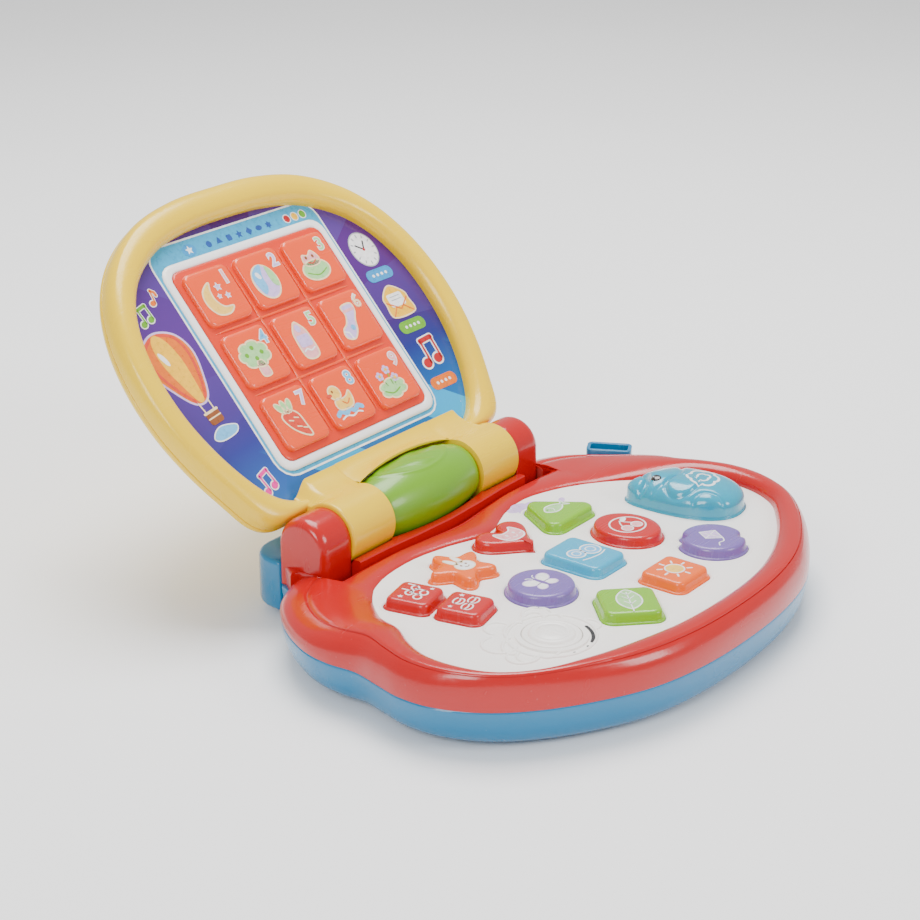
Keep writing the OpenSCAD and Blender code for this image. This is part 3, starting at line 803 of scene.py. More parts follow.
@dataclass(frozen=True)
class Metal:
    """Plated steel with fine turning marks."""

    name: str
    colour: tuple[float, float, float] = (0.62, 0.63, 0.65)

    def make(self) -> bpy.types.Material:
        """Builds the material, or gives back the one already made.

        Returns:
            The material.
        """
        if self.name in bpy.data.materials:
            return bpy.data.materials[self.name]
        made, g, shader = blank_material(self.name)
        where = g.node("TexCoord").outputs["Object"]
        lines = g.node("Mapping", {"Vector": where, "Scale": (900.0, 900.0, 60.0)}).outputs[0]
        marks = g.node("TexNoise", {"Vector": lines, "Scale": 1.0, "Detail": 3.0}).outputs[0]
        dull = tuple(c * 0.7 for c in self.colour)
        g.tree.links.new(g.ramp(marks, [(0.3, dull), (0.65, self.colour)]), shader.inputs["Base Color"])
        g.tree.links.new(g.math("ADD", 0.2, g.math("MULTIPLY", marks, 0.25)), shader.inputs["Roughness"])
        bump = g.node("Bump", {"Strength": 0.2, "Distance": 0.0001, "Height": marks})
        g.tree.links.new(bump.outputs[0], shader.inputs["Normal"])
        shader.inputs["Metallic"].default_value = 1.0
        return made


@dataclass(frozen=True)
class Rubber:
    """Soft rubber: dark, dry and finely pitted."""

    name: str
    colour: tuple[float, float, float]

    def make(self) -> bpy.types.Material:
        """Builds the material, or gives back the one already made.

        Returns:
            The material.
        """
        if self.name in bpy.data.materials:
            return bpy.data.materials[self.name]
        made, g, shader = blank_material(self.name)
        where = g.node("TexCoord").outputs["Object"]
        pits = g.node("TexNoise", {"Vector": where, "Scale": 900.0, "Detail": 4.0}).outputs[0]
        paler = tuple(min(1.0, c * 1.5 + 0.02) for c in self.colour)
        g.tree.links.new(g.ramp(pits, [(0.35, self.colour), (0.75, paler)]), shader.inputs["Base Color"])
        g.tree.links.new(g.math("ADD", 0.62, g.math("MULTIPLY", pits, 0.25)), shader.inputs["Roughness"])
        bump = g.node("Bump", {"Strength": 0.5, "Distance": 0.0002, "Height": pits})
        g.tree.links.new(bump.outputs[0], shader.inputs["Normal"])
        return made


RED = Plastic("red plastic", (0.46, 0.0006, 0.001))
BLUE = Plastic("blue plastic", (0.0, 0.165, 0.345))
YELLOW = Plastic("yellow plastic", (0.86, 0.56, 0.0), gloss=0.2, coat=0.15)
WHITE = Plastic("white plate plastic", (0.95, 0.92, 0.88), gloss=0.3, grain=0.7, coat=0.15)
GREEN = Plastic("green cover plastic", (0.14, 0.36, 0.003), gloss=0.27, grain=0.5)
KEY_ORANGE = Plastic("orange key plastic", (0.86, 0.12, 0.0), gloss=0.2, depth=0.12)
KEY_RED = Plastic("red key plastic", (0.50, 0.001, 0.002), gloss=0.2, depth=0.1)
KEY_GREEN = Plastic("green key plastic", (0.19, 0.46, 0.004), gloss=0.2, depth=0.12)
KEY_PURPLE = Plastic("purple key plastic", (0.17, 0.105, 0.37), gloss=0.2, depth=0.12)
KEY_SKY = Plastic("sky key plastic", (0.02, 0.36, 0.58), gloss=0.2, depth=0.15)
ANIMAL = Plastic("animal key plastic", (0.0, 0.31, 0.46), gloss=0.13, coat=0.6, depth=0.3)
TILE = Plastic("orange tile plastic", (0.88, 0.075, 0.003), gloss=0.2, coat=0.5, depth=0.25)
TILE_BED = Plastic("orange window plastic", (0.72, 0.030, 0.001), gloss=0.25, depth=0.2)
FRAME_WHITE = Plastic("white window border", (0.93, 0.93, 0.93), gloss=0.25)
BLACK = Plastic("black eye plastic", (0.006, 0.006, 0.008), gloss=0.08, coat=0.8, dust=0.0, wear=0.0)
NATURAL = Plastic("natural inner plastic", (0.74, 0.74, 0.70), gloss=0.4, coat=0.0)
BOARD = Plastic("circuit board mask", (0.01, 0.10, 0.035), gloss=0.3, drift=0.3)
CHIP = Plastic("chip resin", (0.012, 0.012, 0.013), gloss=0.45, coat=0.0)
SLEEVE = Plastic("battery sleeve", (0.05, 0.055, 0.065), gloss=0.25, drift=0.4)
LAMP = Plastic("lamp lens", (0.85, 0.84, 0.74), gloss=0.15, depth=0.3)
STEEL = Metal("plated steel")
SOFT_GREY = Rubber("soft grey rubber", (0.035, 0.035, 0.038))
SILICONE = Rubber("key mat silicone", (0.26, 0.26, 0.27))


class Ink(Enum):
    """Inks of the prints, with their colours."""

    WHITE = (0.90, 0.90, 0.90)
    CREAM = (0.93, 0.72, 0.42)
    YELLOW = (0.92, 0.50, 0.01)
    PALE_YELLOW = (0.95, 0.58, 0.10)
    ORANGE = (0.78, 0.15, 0.0)
    CORAL = (0.68, 0.05, 0.02)
    RED = (0.46, 0.002, 0.006)
    PINK = (0.80, 0.02, 0.32)
    ROSE = (0.90, 0.40, 0.42)
    LILAC = (0.62, 0.46, 0.80)
    VIOLET = (0.17, 0.09, 0.36)
    SKY = (0.14, 0.48, 0.82)
    AQUA = (0.015, 0.28, 0.62)
    POOL = (0.03, 0.36, 0.62)
    BLUE = (0.01, 0.07, 0.32)
    MINT = (0.36, 0.68, 0.26)
    LEAF = (0.13, 0.40, 0.01)
    BROWN = (0.25, 0.07, 0.015)
    GREY = (0.40, 0.42, 0.45)
    BLACK = (0.012, 0.012, 0.014)

    def material(self) -> bpy.types.Material:
        """The ink's material."""
        return PrintedInk("ink " + self.name.lower(), self.value).make()


# ---- Prints -----------------------------------------------------------------------------


@dataclass
class PrintSheet:
    """Prints on one flat face: thin slabs, stacked so that later layers lie on top."""

    place: Place
    height: float
    step: float = 0.05
    origin: tuple[float, float] = (0.0, 0.0)
    turn: float = 0.0
    scale: float = 1.0
    solids: dict[Ink, list[Solid]] = field(default_factory=dict)

    def at(self, x: float, y: float, turn: float = 0.0, scale: float = 1.0) -> "PrintSheet":
        """Same sheet with its drawing origin moved, turned and scaled."""
        return PrintSheet(self.place, self.height, self.step, (x, y), turn, scale, self.solids)

    def put(self, points: Sequence) -> np.ndarray:
        """Drawing points to places on the face."""
        return np.asarray(points, float) * self.scale @ turning(self.turn).T + self.origin

    def fill(self, loop: Sequence, ink: Ink, layer: int = 1) -> None:
        """Adds a filled outline."""
        solid = prism(self.put(loop), self.height - 0.1, self.height + self.step * layer)
        self.solids.setdefault(ink, []).append(solid)

    def line(self, path: Sequence, width: float, ink: Ink, layer: int = 2, closed: bool = False) -> None:
        """Adds a stroke along a path.

        Args:
            path: points in the sheet's own frame.
            width: width before the sheet's scale.
            ink: ink it is printed in.
            layer: how many steps it stands up.
            closed: whether the path joins up.
        """
        solid = ribbon(self.put(path), width * self.scale, self.height - 0.1,
                       self.height + self.step * layer, closed)
        self.solids.setdefault(ink, []).append(solid)

    def outlined(self, loop: Sequence, ink: Ink, edge: Ink = Ink.WHITE, width: float = 0.8) -> None:
        """Adds a filled outline with a stroke round it."""
        self.fill(loop, ink, 2)
        self.line(loop, width, edge, 3, True)

    def number(self, figure: int, x: float, y: float, size: float, ink: Ink) -> None:
        """Adds a figure with a pale edge.

        Args:
            figure: the number.
            x: place of its middle.
            y: place of its middle.
            size: height of the type.
            ink: colour of its face.
        """
        for colour, swell, layer in ((Ink.WHITE, 0.055, 3), (ink, 0.012, 4)):
            face = bpy.data.curves.new("figure", "FONT")
            face.body, face.size, face.offset = str(figure), size, swell * size
            face.align_x, face.align_y, face.extrude = "CENTER", "CENTER", 0.5
            thing = bpy.data.objects.new("figure", face)
            bpy.context.scene.collection.objects.link(thing)
            graph = bpy.context.evaluated_depsgraph_get()
            mesh = bpy.data.meshes.new_from_object(thing.evaluated_get(graph))
            points = np.empty(len(mesh.vertices) * 3)
            mesh.vertices.foreach_get("co", points)
            points = points.reshape(-1, 3)
            top = points[:, 2] > 0
            flat = self.put(points[:, :2] + [x, y])
            heights = np.where(top, self.height + self.step * layer, self.height - 0.1)
            faces = [list(p.vertices) for p in mesh.polygons]
            self.solids.setdefault(colour, []).append((np.column_stack([flat, heights]), faces))
            bpy.data.objects.remove(thing)

    def build(self, stem: str, body: str) -> list[bpy.types.Object]:
        """Makes one piece per ink.

        Args:
            stem: start of the pieces' names.
            body: body that they ride on.

        Returns:
            The pieces.
        """
        return [make_piece(f"{stem}_{ink.name.lower()}_print", joined(parts), self.place, body,
                           ink.material(),
                           crease=20) for ink, parts in self.solids.items()]


def star_points(points: int, outer: float, inner: float, turn: float = 90) -> np.ndarray:
    """Star outline with its tips at one radius and its notches at another.

    Args:
        points: number of tips.
        outer, inner: radii of tips and notches.
        turn: degrees to the first tip.

    Returns:
        Closed plane loop.
    """
    a = np.radians(turn) + np.arange(2 * points) * np.pi / points
    r = np.where(np.arange(2 * points) % 2 == 0, outer, inner)
    return np.column_stack([r * np.cos(a), r * np.sin(a)])


def draw_note(s: PrintSheet, ink: Ink, pair: bool = False) -> None:
    """Music note about 10 high, single or a joined pair, with a white edge.

    Args:
        s: sheet that takes the shapes.
        ink: ink of the note.
        pair: whether two notes are joined.
    """
    heads = [(-2.6, -4), (3.2, -3.2)] if pair else [(0, -4)]
    for x, y in heads:
        s.line(ellipse(x, y, 2.1, 1.7, 20), 1.3, Ink.WHITE, 2, True)
        s.line([[x + 1.7, y], [x + 1.7, y + 8.2]], 1.9, Ink.WHITE, 2)
    flag = [[-0.9, 4.2], [4.9, 5.0]] if pair else [[1.7, 4.2], [4.2, 2.6], [4.4, 0.8]]
    s.line(flag, 2.8, Ink.WHITE, 2)
    for x, y in heads:
        s.fill(ellipse(x, y, 2.1, 1.7, 20), ink, 4)
        s.line([[x + 1.7, y], [x + 1.7, y + 8.2]], 0.9, ink, 4)
    s.line(flag, 1.8, ink, 4)


def cloud_line(lobes: int, rx: float, ry: float, depth: float = 0.22) -> np.ndarray:
    """Closed lobed line: an ellipse whose radius swells and falls once per lobe.

    Args:
        lobes: number of lobes.
        rx, ry: half axes.
        depth: share of the radius that swells.

    Returns:
        Closed plane loop.
    """
    a = np.linspace(0, 2 * np.pi, lobes * 14, endpoint=False)
    k = 1 - depth + depth * np.abs(np.sin(a * lobes / 2)) ** 0.6
    return np.column_stack([rx * k * np.cos(a), ry * k * np.sin(a)])


# ---- Base -------------------------------------------------------------------------------

SIDE = [[0, -193.5], [36, -191.5], [67, -184.5], [94, -171], [116, -155], [131, -138], [139.5, -119],
        [141, -102], [138, -87], [135, -73], [136, -57], [133, -41], [123, -22], [109, -7]]
RED_TURN = [[90, 0.5], [88, -9], [87.6, -19], [70, -20], [45, -20.5], [25, -22], [0, -23]]
BLUE_TURN = [[93, 3.5], [90, 7.5], [86.5, 12], [70, 14], [45, 14], [22, 14], [0, 14]]
PLATE = [[0, -176], [32, -174.5], [60, -168], [85, -157.5], [104, -146], [116, -136],
         [124, -121], [126, -103], [121, -88], [112, -78], [105.5, -71], [100.5, -65.5], [95, -60],
         [90, -55.5], [85.5, -52], [81.5, -49], [76, -45.5], [64, -39.5], [45, -34.5], [24, -37.5],
         [0, -46], [-24, -39], [-45, -35],
         [-66, -36], [-80, -40], [-86, -43.5], [-90, -46.5], [-94, -50], [-99, -56], [-104, -63],
         [-107, -70], [-110, -79], [-118, -91], [-124, -106], [-124, -124], [-119, -141], [-106, -153],
         [-88, -159.5], [-66, -166], [-34, -173.5]]


@dataclass
class BaseShells:
    """Red upper shell, blue lower shell, white plate and the pieces fixed to them."""

    placing: Placing
    centre: tuple[float, float] = (0.0, -92.0)
    seam: float = 21.0
    crest: float = 38.0
    plate_top: float = 31.5
    floor: float = 1.2
    wall: float = 2.2
    dip: float = 5.0
    loop_at: tuple[float, float] = (128.0, -31.0)
    loop_turn: float = 28.0

    def dipped(self, loop: np.ndarray, height: float, outside: bool) -> np.ndarray:
        """Ring of the rim at a height, let down beside the hinge: the fall eases in and out
        over 50 mm, and is scaled so that the seam and the plate's edge stay where they are.

        Args:
            loop: the ring's outline.
            height: its height where the rim doesn't dip.
            outside: whether the ring lies on the outer half of the rim.

        Returns:
            The ring's points.
        """
        share = np.clip((loop[:, 1] + 80) / 50, 0, 1)
        foot = self.seam if outside else 29.1
        fall = self.dip * share**2 * (3 - 2 * share) * (height - foot) / (self.crest - foot)
        return np.column_stack([loop, height - fall])

    def build_rim(self) -> None:
        """Red rim: a rounded band between the outer wall and the plate, with a fine groove
        along its shoulder. Each ring lies a share of the way from wall to plate."""
        red = smooth_loop(both_sides(SIDE + RED_TURN), 8) * 0.9993
        white = smooth_loop(PLATE, 8)
        outer = smooth_path([[0, 16.2], [0, 12.5], [0.025, 8.8], [0.09, 5.2], [0.2, 2.2]], 4)
        groove = np.array([[0.262, 1.30], [0.275, 1.75], [0.290, 1.72], [0.302, 0.95]])
        inner = smooth_path([[0.36, 0.3], [0.5, 0], [0.66, 0.2], [0.82, 1.3], [0.94, 3.1], [1, 5.6],
                             [1.002, 8.9]], 4)
        inside = np.array([[0.86, 8.9], [0.86, 6.2], [0.72, 3.4], [0.5, 2.5], [0.34, 3.2], [0.2, 5.2],
                           [0.13, 10],
                           [0.13, 17], [0.012, 17], [0.003, 16.8]])
        profile = np.vstack([outer, groove, inner, inside])
        rings = [self.dipped(red * (1 - k) + white * k, self.crest - d, k < 0.5) for k, d in profile]
        piece = make_piece("red_top_shell", loft(rings), self.placing.base, "base", RED.make(),
                           50)
        cut(piece, [self.loop_cutter()], self.placing.base)
        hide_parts("base_top_shell")

    def loop_cutter(self) -> Solid:
        """Room for the strap loop in the side walls."""
        edge = rounded([[-3, -9], [3, -9], [3, 9], [-3, 9]], 3.1,
                       64) @ turning(self.loop_turn).T + self.loop_at
        return prism(edge, 9, 40)

    def build_tub(self) -> None:
        """Blue lower shell: the outline drawn in towards the centre as it goes down."""
        blue = smooth_loop(both_sides(SIDE + BLUE_TURN), 8) * 0.9993
        outer = smooth_path([[0.90, 1.2], [0.935, 2.4], [0.965, 5.4], [0.985, 10.2], [0.996, 16],
                             [0.9995, 20.2]], 5)
        rest = [[0.996, 20.9], [0.982, 21], [0.968, 10.2], [0.94, 5.6], [0.88, 3.4]]
        centre = np.array(self.centre)
        rings = [lifted(centre + (blue - centre) * k, z) for k, z in np.vstack([outer, rest])]
        tub = loft(rings, [(*self.centre, 1.2), (*self.centre, 3.4)])
        piece = make_piece("blue_bottom_shell", tub, self.placing.base, "base", BLUE.make(),
                           50)
        slots = [prism(rounded([[66.2, y], [89.8, y]], 1.2, 32), -1, 5) for y in (-82, -76, -70, -64, -58)]
        door = [prism(np.array([[-27.9, -49.4], [27.9, -49.4], [27.9, -5.6], [-27.9, -5.6]]), -1, 5),
                prism(np.array([[-6.3, -60.3], [6.3, -60.3], [6.3, -49], [-6.3, -49]]), -1, 5)]
        holes = [prism(ellipse(x, y, 1.4, 1.4), -1, 5) for x, y in self.screw_places()]
        for solids in (door[:1], door[1:], slots, holes, [self.loop_cutter()]):
            cut(piece, solids, self.placing.base)
        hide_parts("base_bottom_shell")

    def screw_places(self) -> list:
        """Places of the six base screws."""
        return [(-112, -52), (112, -52), (-116, -112), (116, -112), (-48, -172), (48, -172)]

    def dress_plate(self) -> None:
        """Relief and prints of the white plate: a lobed cloud and swirls round the dial, a black arc and
        two black dots beside the dial, and a painted shadow in lilac behind the triangle key."""
        place = self.placing.base
        top = self.plate_top
        cloud = cloud_line(7, 25, 15, 0.25) @ turning(25).T + (-76, -128)
        beads = [bead(resample(cloud, 160), 1.7, 0.9, top),
                 bead(ellipse(-71, -133, 21, 19.5, 0, 96), 1.4, 0.8, top)]
        for x, y, r, a0, a1 in ((-92, -120, 8, 60, 300), (-96, -134, 6, 90, 320), (-58, -116, 7, -60, 170),
                                (-80, -110, 6, -20, 210), (-52, -140, 5, -130, 60)):
            a = np.radians(np.linspace(a0, a1, 24))
            swirl = np.column_stack([x + r * np.cos(a), y + r * np.sin(a)])
            beads.append(bead(swirl, 1.6, 0.8, top, False))
        make_piece("plate_cloud_relief", joined(beads), place, "base", WHITE.make())
        # A black arc and two black dots printed on the plate beside the dial; they belong to the plate and
        # stay put when the dial turns.
        a = np.radians(np.linspace(-70, -22, 20))
        black_arc = np.column_stack([-71 + 18.3 * np.cos(a), -133 + 18.3 * np.sin(a)])
        marks = PrintSheet(place, top)
        marks.line(black_arc, 1.7, Ink.BLACK)
        for k in (-85, -112):
            marks.fill(ellipse(-71 + 18.3 * math.cos(math.radians(k)),
                               -133 + 18.3 * math.sin(math.radians(k)), 0.7, 0.7), Ink.BLACK)
        # Painted shadow: two lilac blobs printed on the plate behind the triangle key stand in for the
        # shade it casts there; they make up the plate's lilac print piece.
        marks.fill(cloud_line(5, 11, 6.5, 0.3) @ turning(-20).T + (37, -41.5), Ink.LILAC)
        marks.fill(ellipse(56, -50, 3.0, 1.6, 30), Ink.LILAC)
        marks.build("plate", "base")

    def build_collars(self, outlines: dict) -> None:
        """Low rounded collars that frame the key holes."""
        beads = [bead(loop + outward(loop) * 1.25, 1.3, 0.35, self.plate_top) for loop in outlines.values()]
        make_piece("plate_key_collars", joined(beads), self.placing.base, "base", WHITE.make())

    def build_fittings(self) -> None:
        """Handle, strap loop and door with their edges rounded."""
        rounded_copy("carry_handle", "rounded_carry_handle", 2.2, BLUE.make())
        rounded_copy("strap_loop", "rounded_strap_loop", 0.6, BLUE.make())
        rounded_copy("battery_door", "rounded_battery_door", 0.3, BLUE.make())

    def build_knuckles(self) -> None:
        """Red hinge cradle: two domed knuckles joined by a trough under the barrels."""
        knuckles = []
        for side in (-1, 1):
            knuckles.append(self.knuckle(side))
            shelf = np.array([[86, -17], [87.2, -17], [87.2, -9.5], [87.1, -4], [88.3, 0.6], [91.5, 2.2],
                              [89, 6.2], [86, 10.5]])
            rings = [lifted(np.array([86, 0]) + (shelf - [86, 0]) * k, z) for k,
                     z in ((1, 21.1), (1, 29.4), (0.94, 30.3), (0.8, 30.9))]
            points, faces = loft(rings, [(86, -2, 21.1), (86, -2, 31)])
            knuckles.append((points * [side, 1, 1], faces))
        piece = make_piece("red_hinge_knuckles", joined(knuckles), self.placing.base, "base", RED.make(),
                           50)
        trough = self.trough()
        bed = make_piece("red_hinge_trough", trough, self.placing.base, "base", RED.make(), 35)
        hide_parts("hinge_cradle")
        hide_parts("hinge_cradle")

    def knuckle(self, side: int, inner: float = 66.6, outer: float = 86.6, radius: float = 14.5) -> Solid:
        """One knuckle: an arch section carried along the hinge line, drawn in at its outer
        end along a quarter of a superellipse so that the end is domed.

        Args:
            side: -1 on the left, 1 on the right.
            inner, outer: distances of its ends from the middle.
            radius: radius of the arch.

        Returns:
            Closed solid.
        """
        a = np.radians(np.linspace(0, 180, 33))
        arch = np.column_stack([radius * np.cos(a), 42 + radius * np.sin(a)])
        down = np.linspace(42, 21, 10)[1:]
        back = np.column_stack([np.full(9, -radius), down])
        foot = np.column_stack([np.linspace(-radius, radius, 13)[1:-1], np.full(11, 21.0)])
        front = np.column_stack([np.full(9, radius), down])[::-1]
        section = np.vstack([arch, back, foot, front])
        section[:, 0] *= -1
        middle = np.array([0, 38.0])
        round_off = 5.5
        t = np.radians(np.linspace(0, 84, 12))
        along = np.concatenate([[inner, inner + 0.5], np.linspace(inner + 4, outer - round_off, 4),
                                outer - round_off + round_off * np.sin(t)])
        drawn = np.concatenate([[0.985, 1.0], np.ones(4), 1 - 0.24 * (1 - np.cos(t) ** 0.9)])
        rings = []
        for x, k in zip(along, drawn):
            ring = middle + (section - middle) * [k, k]
            ring[:, 1] = np.where(section[:, 1] < 24, section[:, 1], ring[:, 1])
            rings.append(np.column_stack([np.full(len(ring), side * x), ring]))
        ends = [(side * inner, 0, 34), (side * (outer - round_off + round_off * math.sin(t[-1])), 0, 34)]
        return loft(rings, ends)

    def trough(self) -> Solid:
        """Bed under the barrels: a block whose top is a circular hollow, wider where the
        green cover turns. At each x the hollow's radius clears what turns in it.

        Returns:
            Closed solid.
        """
        x = np.linspace(-66.4, 66.4, 97)
        cover = np.where(np.abs(x) < 36.6, 19.4 - 3.8 * (x / 35.6) ** 2 + 0.9, 17.8)
        rings = []
        a = np.linspace(0, 1, 25)
        for place, r in zip(x, cover):
            front = -np.interp(abs(place), [0, 25, 45, 70], [22.7, 21.7, 20.2, 19.7])
            top = 33.8
            reach = math.sqrt(max(r * r - (42 - top) ** 2, 1.0))
            start, stop = math.atan2(top - 42, -reach), math.atan2(top - 42, reach)
            ang = start + (stop - start) * a
            hollow = np.column_stack([r * np.cos(ang), 42 + r * np.sin(ang)])
            ring = np.vstack([[[front, 21.2], [front, top - 0.6], [front + 0.5, top]], hollow,
                              [[max(reach, 13.3), top], [14, top - 0.7], [14, 21.2]]])
            rings.append(np.column_stack([np.full(len(ring), place), ring]))
        return loft(rings, [(x[0], 0, 22), (x[-1], 0, 22)])

    def dress_inside(self) -> None:
        """Gives the carried-over frame pieces their finishes."""
        finishes = {"keyboard_plate": WHITE, "rubber_feet": SOFT_GREY, "battery_door_screw": STEEL,
                    "base_screws": STEEL, "lid_screws": STEEL, "hinge_pin_left": STEEL,
                    "hinge_pin_right": STEEL,
                    "battery_contacts": STEEL, "batteries": SLEEVE, "battery_box": NATURAL,
                    "main_circuit_board": BOARD, "light_board": BOARD, "sound_chip": CHIP,
                    "key_membrane": SILICONE,
                    "speaker_frame": STEEL, "speaker_cone": CHIP, "light_diffuser": NATURAL,
                    "screen_lights": LAMP}
        for node, finish in finishes.items():
            dress(node, finish.make())

    def build(self) -> None:
        """Makes every piece of the base."""
        self.build_rim()
        self.build_tub()
        self.build_knuckles()
        self.build_fittings()
        self.dress_plate()
        self.dress_inside()


def dress(node: str, material: bpy.types.Material) -> None:
    """Puts a material on a CAD node.

    Args:
        node: name of the node.
        material: material it gets.
    """
    slots = frame["nodes"][node].data.materials
    slots.clear()
    slots.append(material)


@dataclass
class HingeCover:
    """Green barrel cover with an oval border and wavy relief."""

    placing: Placing
    half: float = 35.0
    radius: float = 19.4

    def build(self) -> None:
        """The skin is part of an ellipsoid; a border ridge and waves inside it stand out along
        an ellipse in x and turn."""
        x = np.linspace(-1, 1, 121)
        a = np.radians(np.linspace(0, 360, 240, endpoint=False))
        gx, ga = np.meshgrid(x, a, indexing="ij")
        r = (self.radius - 0.35) * np.sqrt(1 - (gx * self.half / 52) ** 2)
        off = (ga - math.radians(62) + np.pi) % (2 * np.pi) - np.pi
        oval = np.sqrt((gx / 0.80) ** 2 + (off / 1.02) ** 2)
        border = np.exp(-((oval - 1) / 0.045) ** 2)
        inside = 1 / (1 + np.exp((oval - 0.86) / 0.03))
        waves = np.sin(9 * gx + 2.4 * np.sin(5 * off)) * np.cos(3.2 * off)
        relief = 0.34 * border + 0.32 * inside * np.clip(waves * 1.6, -0.3, 1)
        r = r + relief
        ends = np.clip((1 - np.abs(gx)) / 0.05, 0, 1)
        r = r - 1.6 * (1 - np.sqrt(1 - (1 - ends) ** 2))
        rings = np.stack([gx * self.half, r * np.cos(ga), 42 + r * np.sin(ga)], 2)
        solid = loft(rings, [(-self.half, 0, 42), (self.half, 0, 42)])
        piece = make_piece("green_hinge_cover", solid, self.placing.base, "base", GREEN.make(),
                           60)
        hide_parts("hinge_cover")


# ---- Keys -------------------------------------------------------------------------------


def star_line() -> np.ndarray:
    """Five soft arms: the radius swings five times round.

    Returns:
        Closed plane loop.
    """
    a = np.radians(np.arange(0, 360, 2.5))
    r = 14.6 + 3.4 * np.cos(5 * (a - np.pi / 2))
    return np.column_stack([r * np.cos(a), r * np.sin(a)])


def heart_line() -> np.ndarray:
    """Heart curve of sines and cosines of one to four times the parameter. Its lower tip is
    rounded by averaging neighbours; its notch is left alone, so that it clears the hole.

    Returns:
        Closed plane loop.
    """
    t = np.radians(np.arange(0, 360, 2.5))
    y = 13 * np.cos(t) - 5 * np.cos(2 * t) - 2 * np.cos(3 * t) - np.cos(4 * t) + 2.3
    loop = resample(np.column_stack([-16 * np.sin(t) ** 3, y]) * 1.06, 160)
    soft = loop
    for _ in range(14):
        soft = (np.roll(soft, 1, 0) + 2 * soft + np.roll(soft, -1, 0)) / 4
    share = np.clip((2 - loop[:, 1:]) / 6, 0, 1)
    return loop + (soft - loop) * share


def moon_line() -> np.ndarray:
    """Disc with two notches where the horns of a crescent end.

    Returns:
        Closed plane loop.
    """
    a = np.arange(0, 360, 2.5)
    r = 17 - 3 * np.exp(-(((a - 120) / 9) ** 2)) - 3 * np.exp(-(((a - 318) / 9) ** 2))
    return np.column_stack([r * np.cos(np.radians(a)), r * np.sin(np.radians(a))])


def mouse_line() -> np.ndarray:
    """Long superellipse with a bump for the trunk.

    Returns:
        Closed plane loop.
    """
    a = np.radians(np.arange(0, 360, 2))
    c, s = np.cos(a), np.sin(a)
    r = ((np.abs(c) / 20.5) ** 2.4 + (np.abs(s) / 28) ** 2.4) ** (-1 / 2.4)
    r = r + 5 * np.exp(-(((np.degrees(a) - 112) / 22) ** 2))
    return np.column_stack([r * c, r * s])


@dataclass
class Key:
    """A press key: its CAD node, outline, place, finish and print."""

    node: str
    outline: np.ndarray
    at: tuple[float, float]
    finish: Plastic
    slot: str
    draw: Callable[[PrintSheet], None]
    turn: float = 0.0

    def loop(self) -> np.ndarray:
        """Outline at the key's place."""
        return self.outline @ turning(self.turn).T + self.at

    def build(self, placing: Placing) -> None:
        """A flange below the plate, a low lip, leaning sides and a rounded crown: rings
        that step in from the outline as they rise, the last ones shrunk to the middle.

        Args:
            placing: where the base stands.
        """
        edge = self.loop()
        middle = np.array(self.at)
        normal = outward(edge)
        angles = np.arctan2(*(edge - middle).T[::-1])
        stem = middle + 3 * np.column_stack([np.cos(angles), np.sin(angles)])
        rings = [lifted(stem, 24.3), lifted(stem, 26.3)]
        for grow, z in ((1.25, 26.3), (1.25, 28.9), (0, 28.9), (0, 31.75), (-0.12, 32.1), (-0.45, 32.3),
                        (-0.85, 32.42), (-1.0, 32.7), (-1.35, 34.9), (-1.6, 35.7), (-2.0, 36.3),
                        (-2.6, 36.68),
                        (-3.3, 36.86)):
            rings.append(lifted(edge + normal * grow, z))
        top = edge + normal * -3.3
        for k, z in ((0.9, 36.93), (0.7, 36.97), (0.4, 37.0), (0.15, 37.0)):
            rings.append(lifted(middle + (top - middle) * k, z))
        solid = loft(rings, [(*self.at, 24.3), (*self.at, 37.0)])
        piece = make_piece(self.node + "_cap", solid, placing.base, self.node, self.finish.make(),
                           62)
        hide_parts(self.node)
        sheet = PrintSheet(placing.base, 36.95, 0.05, self.at, self.turn)
        self.draw(sheet)
        sheet.build(self.node, self.node)


def draw_rabbit(s: PrintSheet) -> None:
    """Round head with two long ears.

    Args:
        s: sheet that takes the shapes.
    """
    for x in (-2.2, 2.2):
        s.outlined(ellipse(x, 4.5, 1.5, 4.2, -x * 4), Ink.WHITE, Ink.CREAM, 0.5)
    s.outlined(ellipse(0, -2.2, 5.4, 4.6), Ink.WHITE, Ink.CREAM, 0.5)
    for x in (-1.8, 1.8):
        s.fill(ellipse(x, -1.4, 0.5, 0.7), Ink.BROWN, 4)
    s.line(smooth_path([[-1.4, -3.6], [0, -4.3], [1.4, -3.6]]), 0.4, Ink.BROWN, 4)


def draw_cat(s: PrintSheet) -> None:
    """Cat face in white line with a rose fill.

    Args:
        s: sheet that takes the shapes.
    """
    head = smooth_loop([[-7, -1], [-6.2, 6.2], [-2.6, 3.6], [2.6, 3.6], [6.2, 6.2], [7, -1], [3.5, -5.2],
                        [-3.5, -5.2]], 6)
    s.outlined(head, Ink.ROSE, Ink.WHITE, 0.8)
    for x in (-2.6, 2.6):
        s.fill(ellipse(x, 0.6, 0.7, 1.0), Ink.WHITE, 4)
        s.line([[x * 1.3, -2.2], [x * 2.6, -1.6]], 0.4, Ink.WHITE, 4)
    s.line(smooth_path([[-1.6, -2.4], [0, -3.4], [1.6, -2.4]]), 0.5, Ink.WHITE, 4)


def draw_fish(s: PrintSheet) -> None:
    """Fish in pale line with a tail and a fin.

    Args:
        s: sheet that takes the shapes.
    """
    s.outlined(smooth_loop([[-7, 0], [-3, 3.6], [2.5, 3], [6, 0], [2.5, -3], [-3, -3.6]], 6), Ink.MINT,
               Ink.WHITE, 0.7)
    s.outlined(smooth_loop([[6, 0], [9, 3], [8.2, 0], [9, -3]], 5), Ink.MINT, Ink.WHITE, 0.6)
    s.line(smooth_path([[-2.5, 2.2], [-1.2, 0], [-2.5, -2.2]]), 0.5, Ink.WHITE, 4)
    s.fill(ellipse(-4.6, 0.9, 0.6, 0.6), Ink.LEAF, 4)


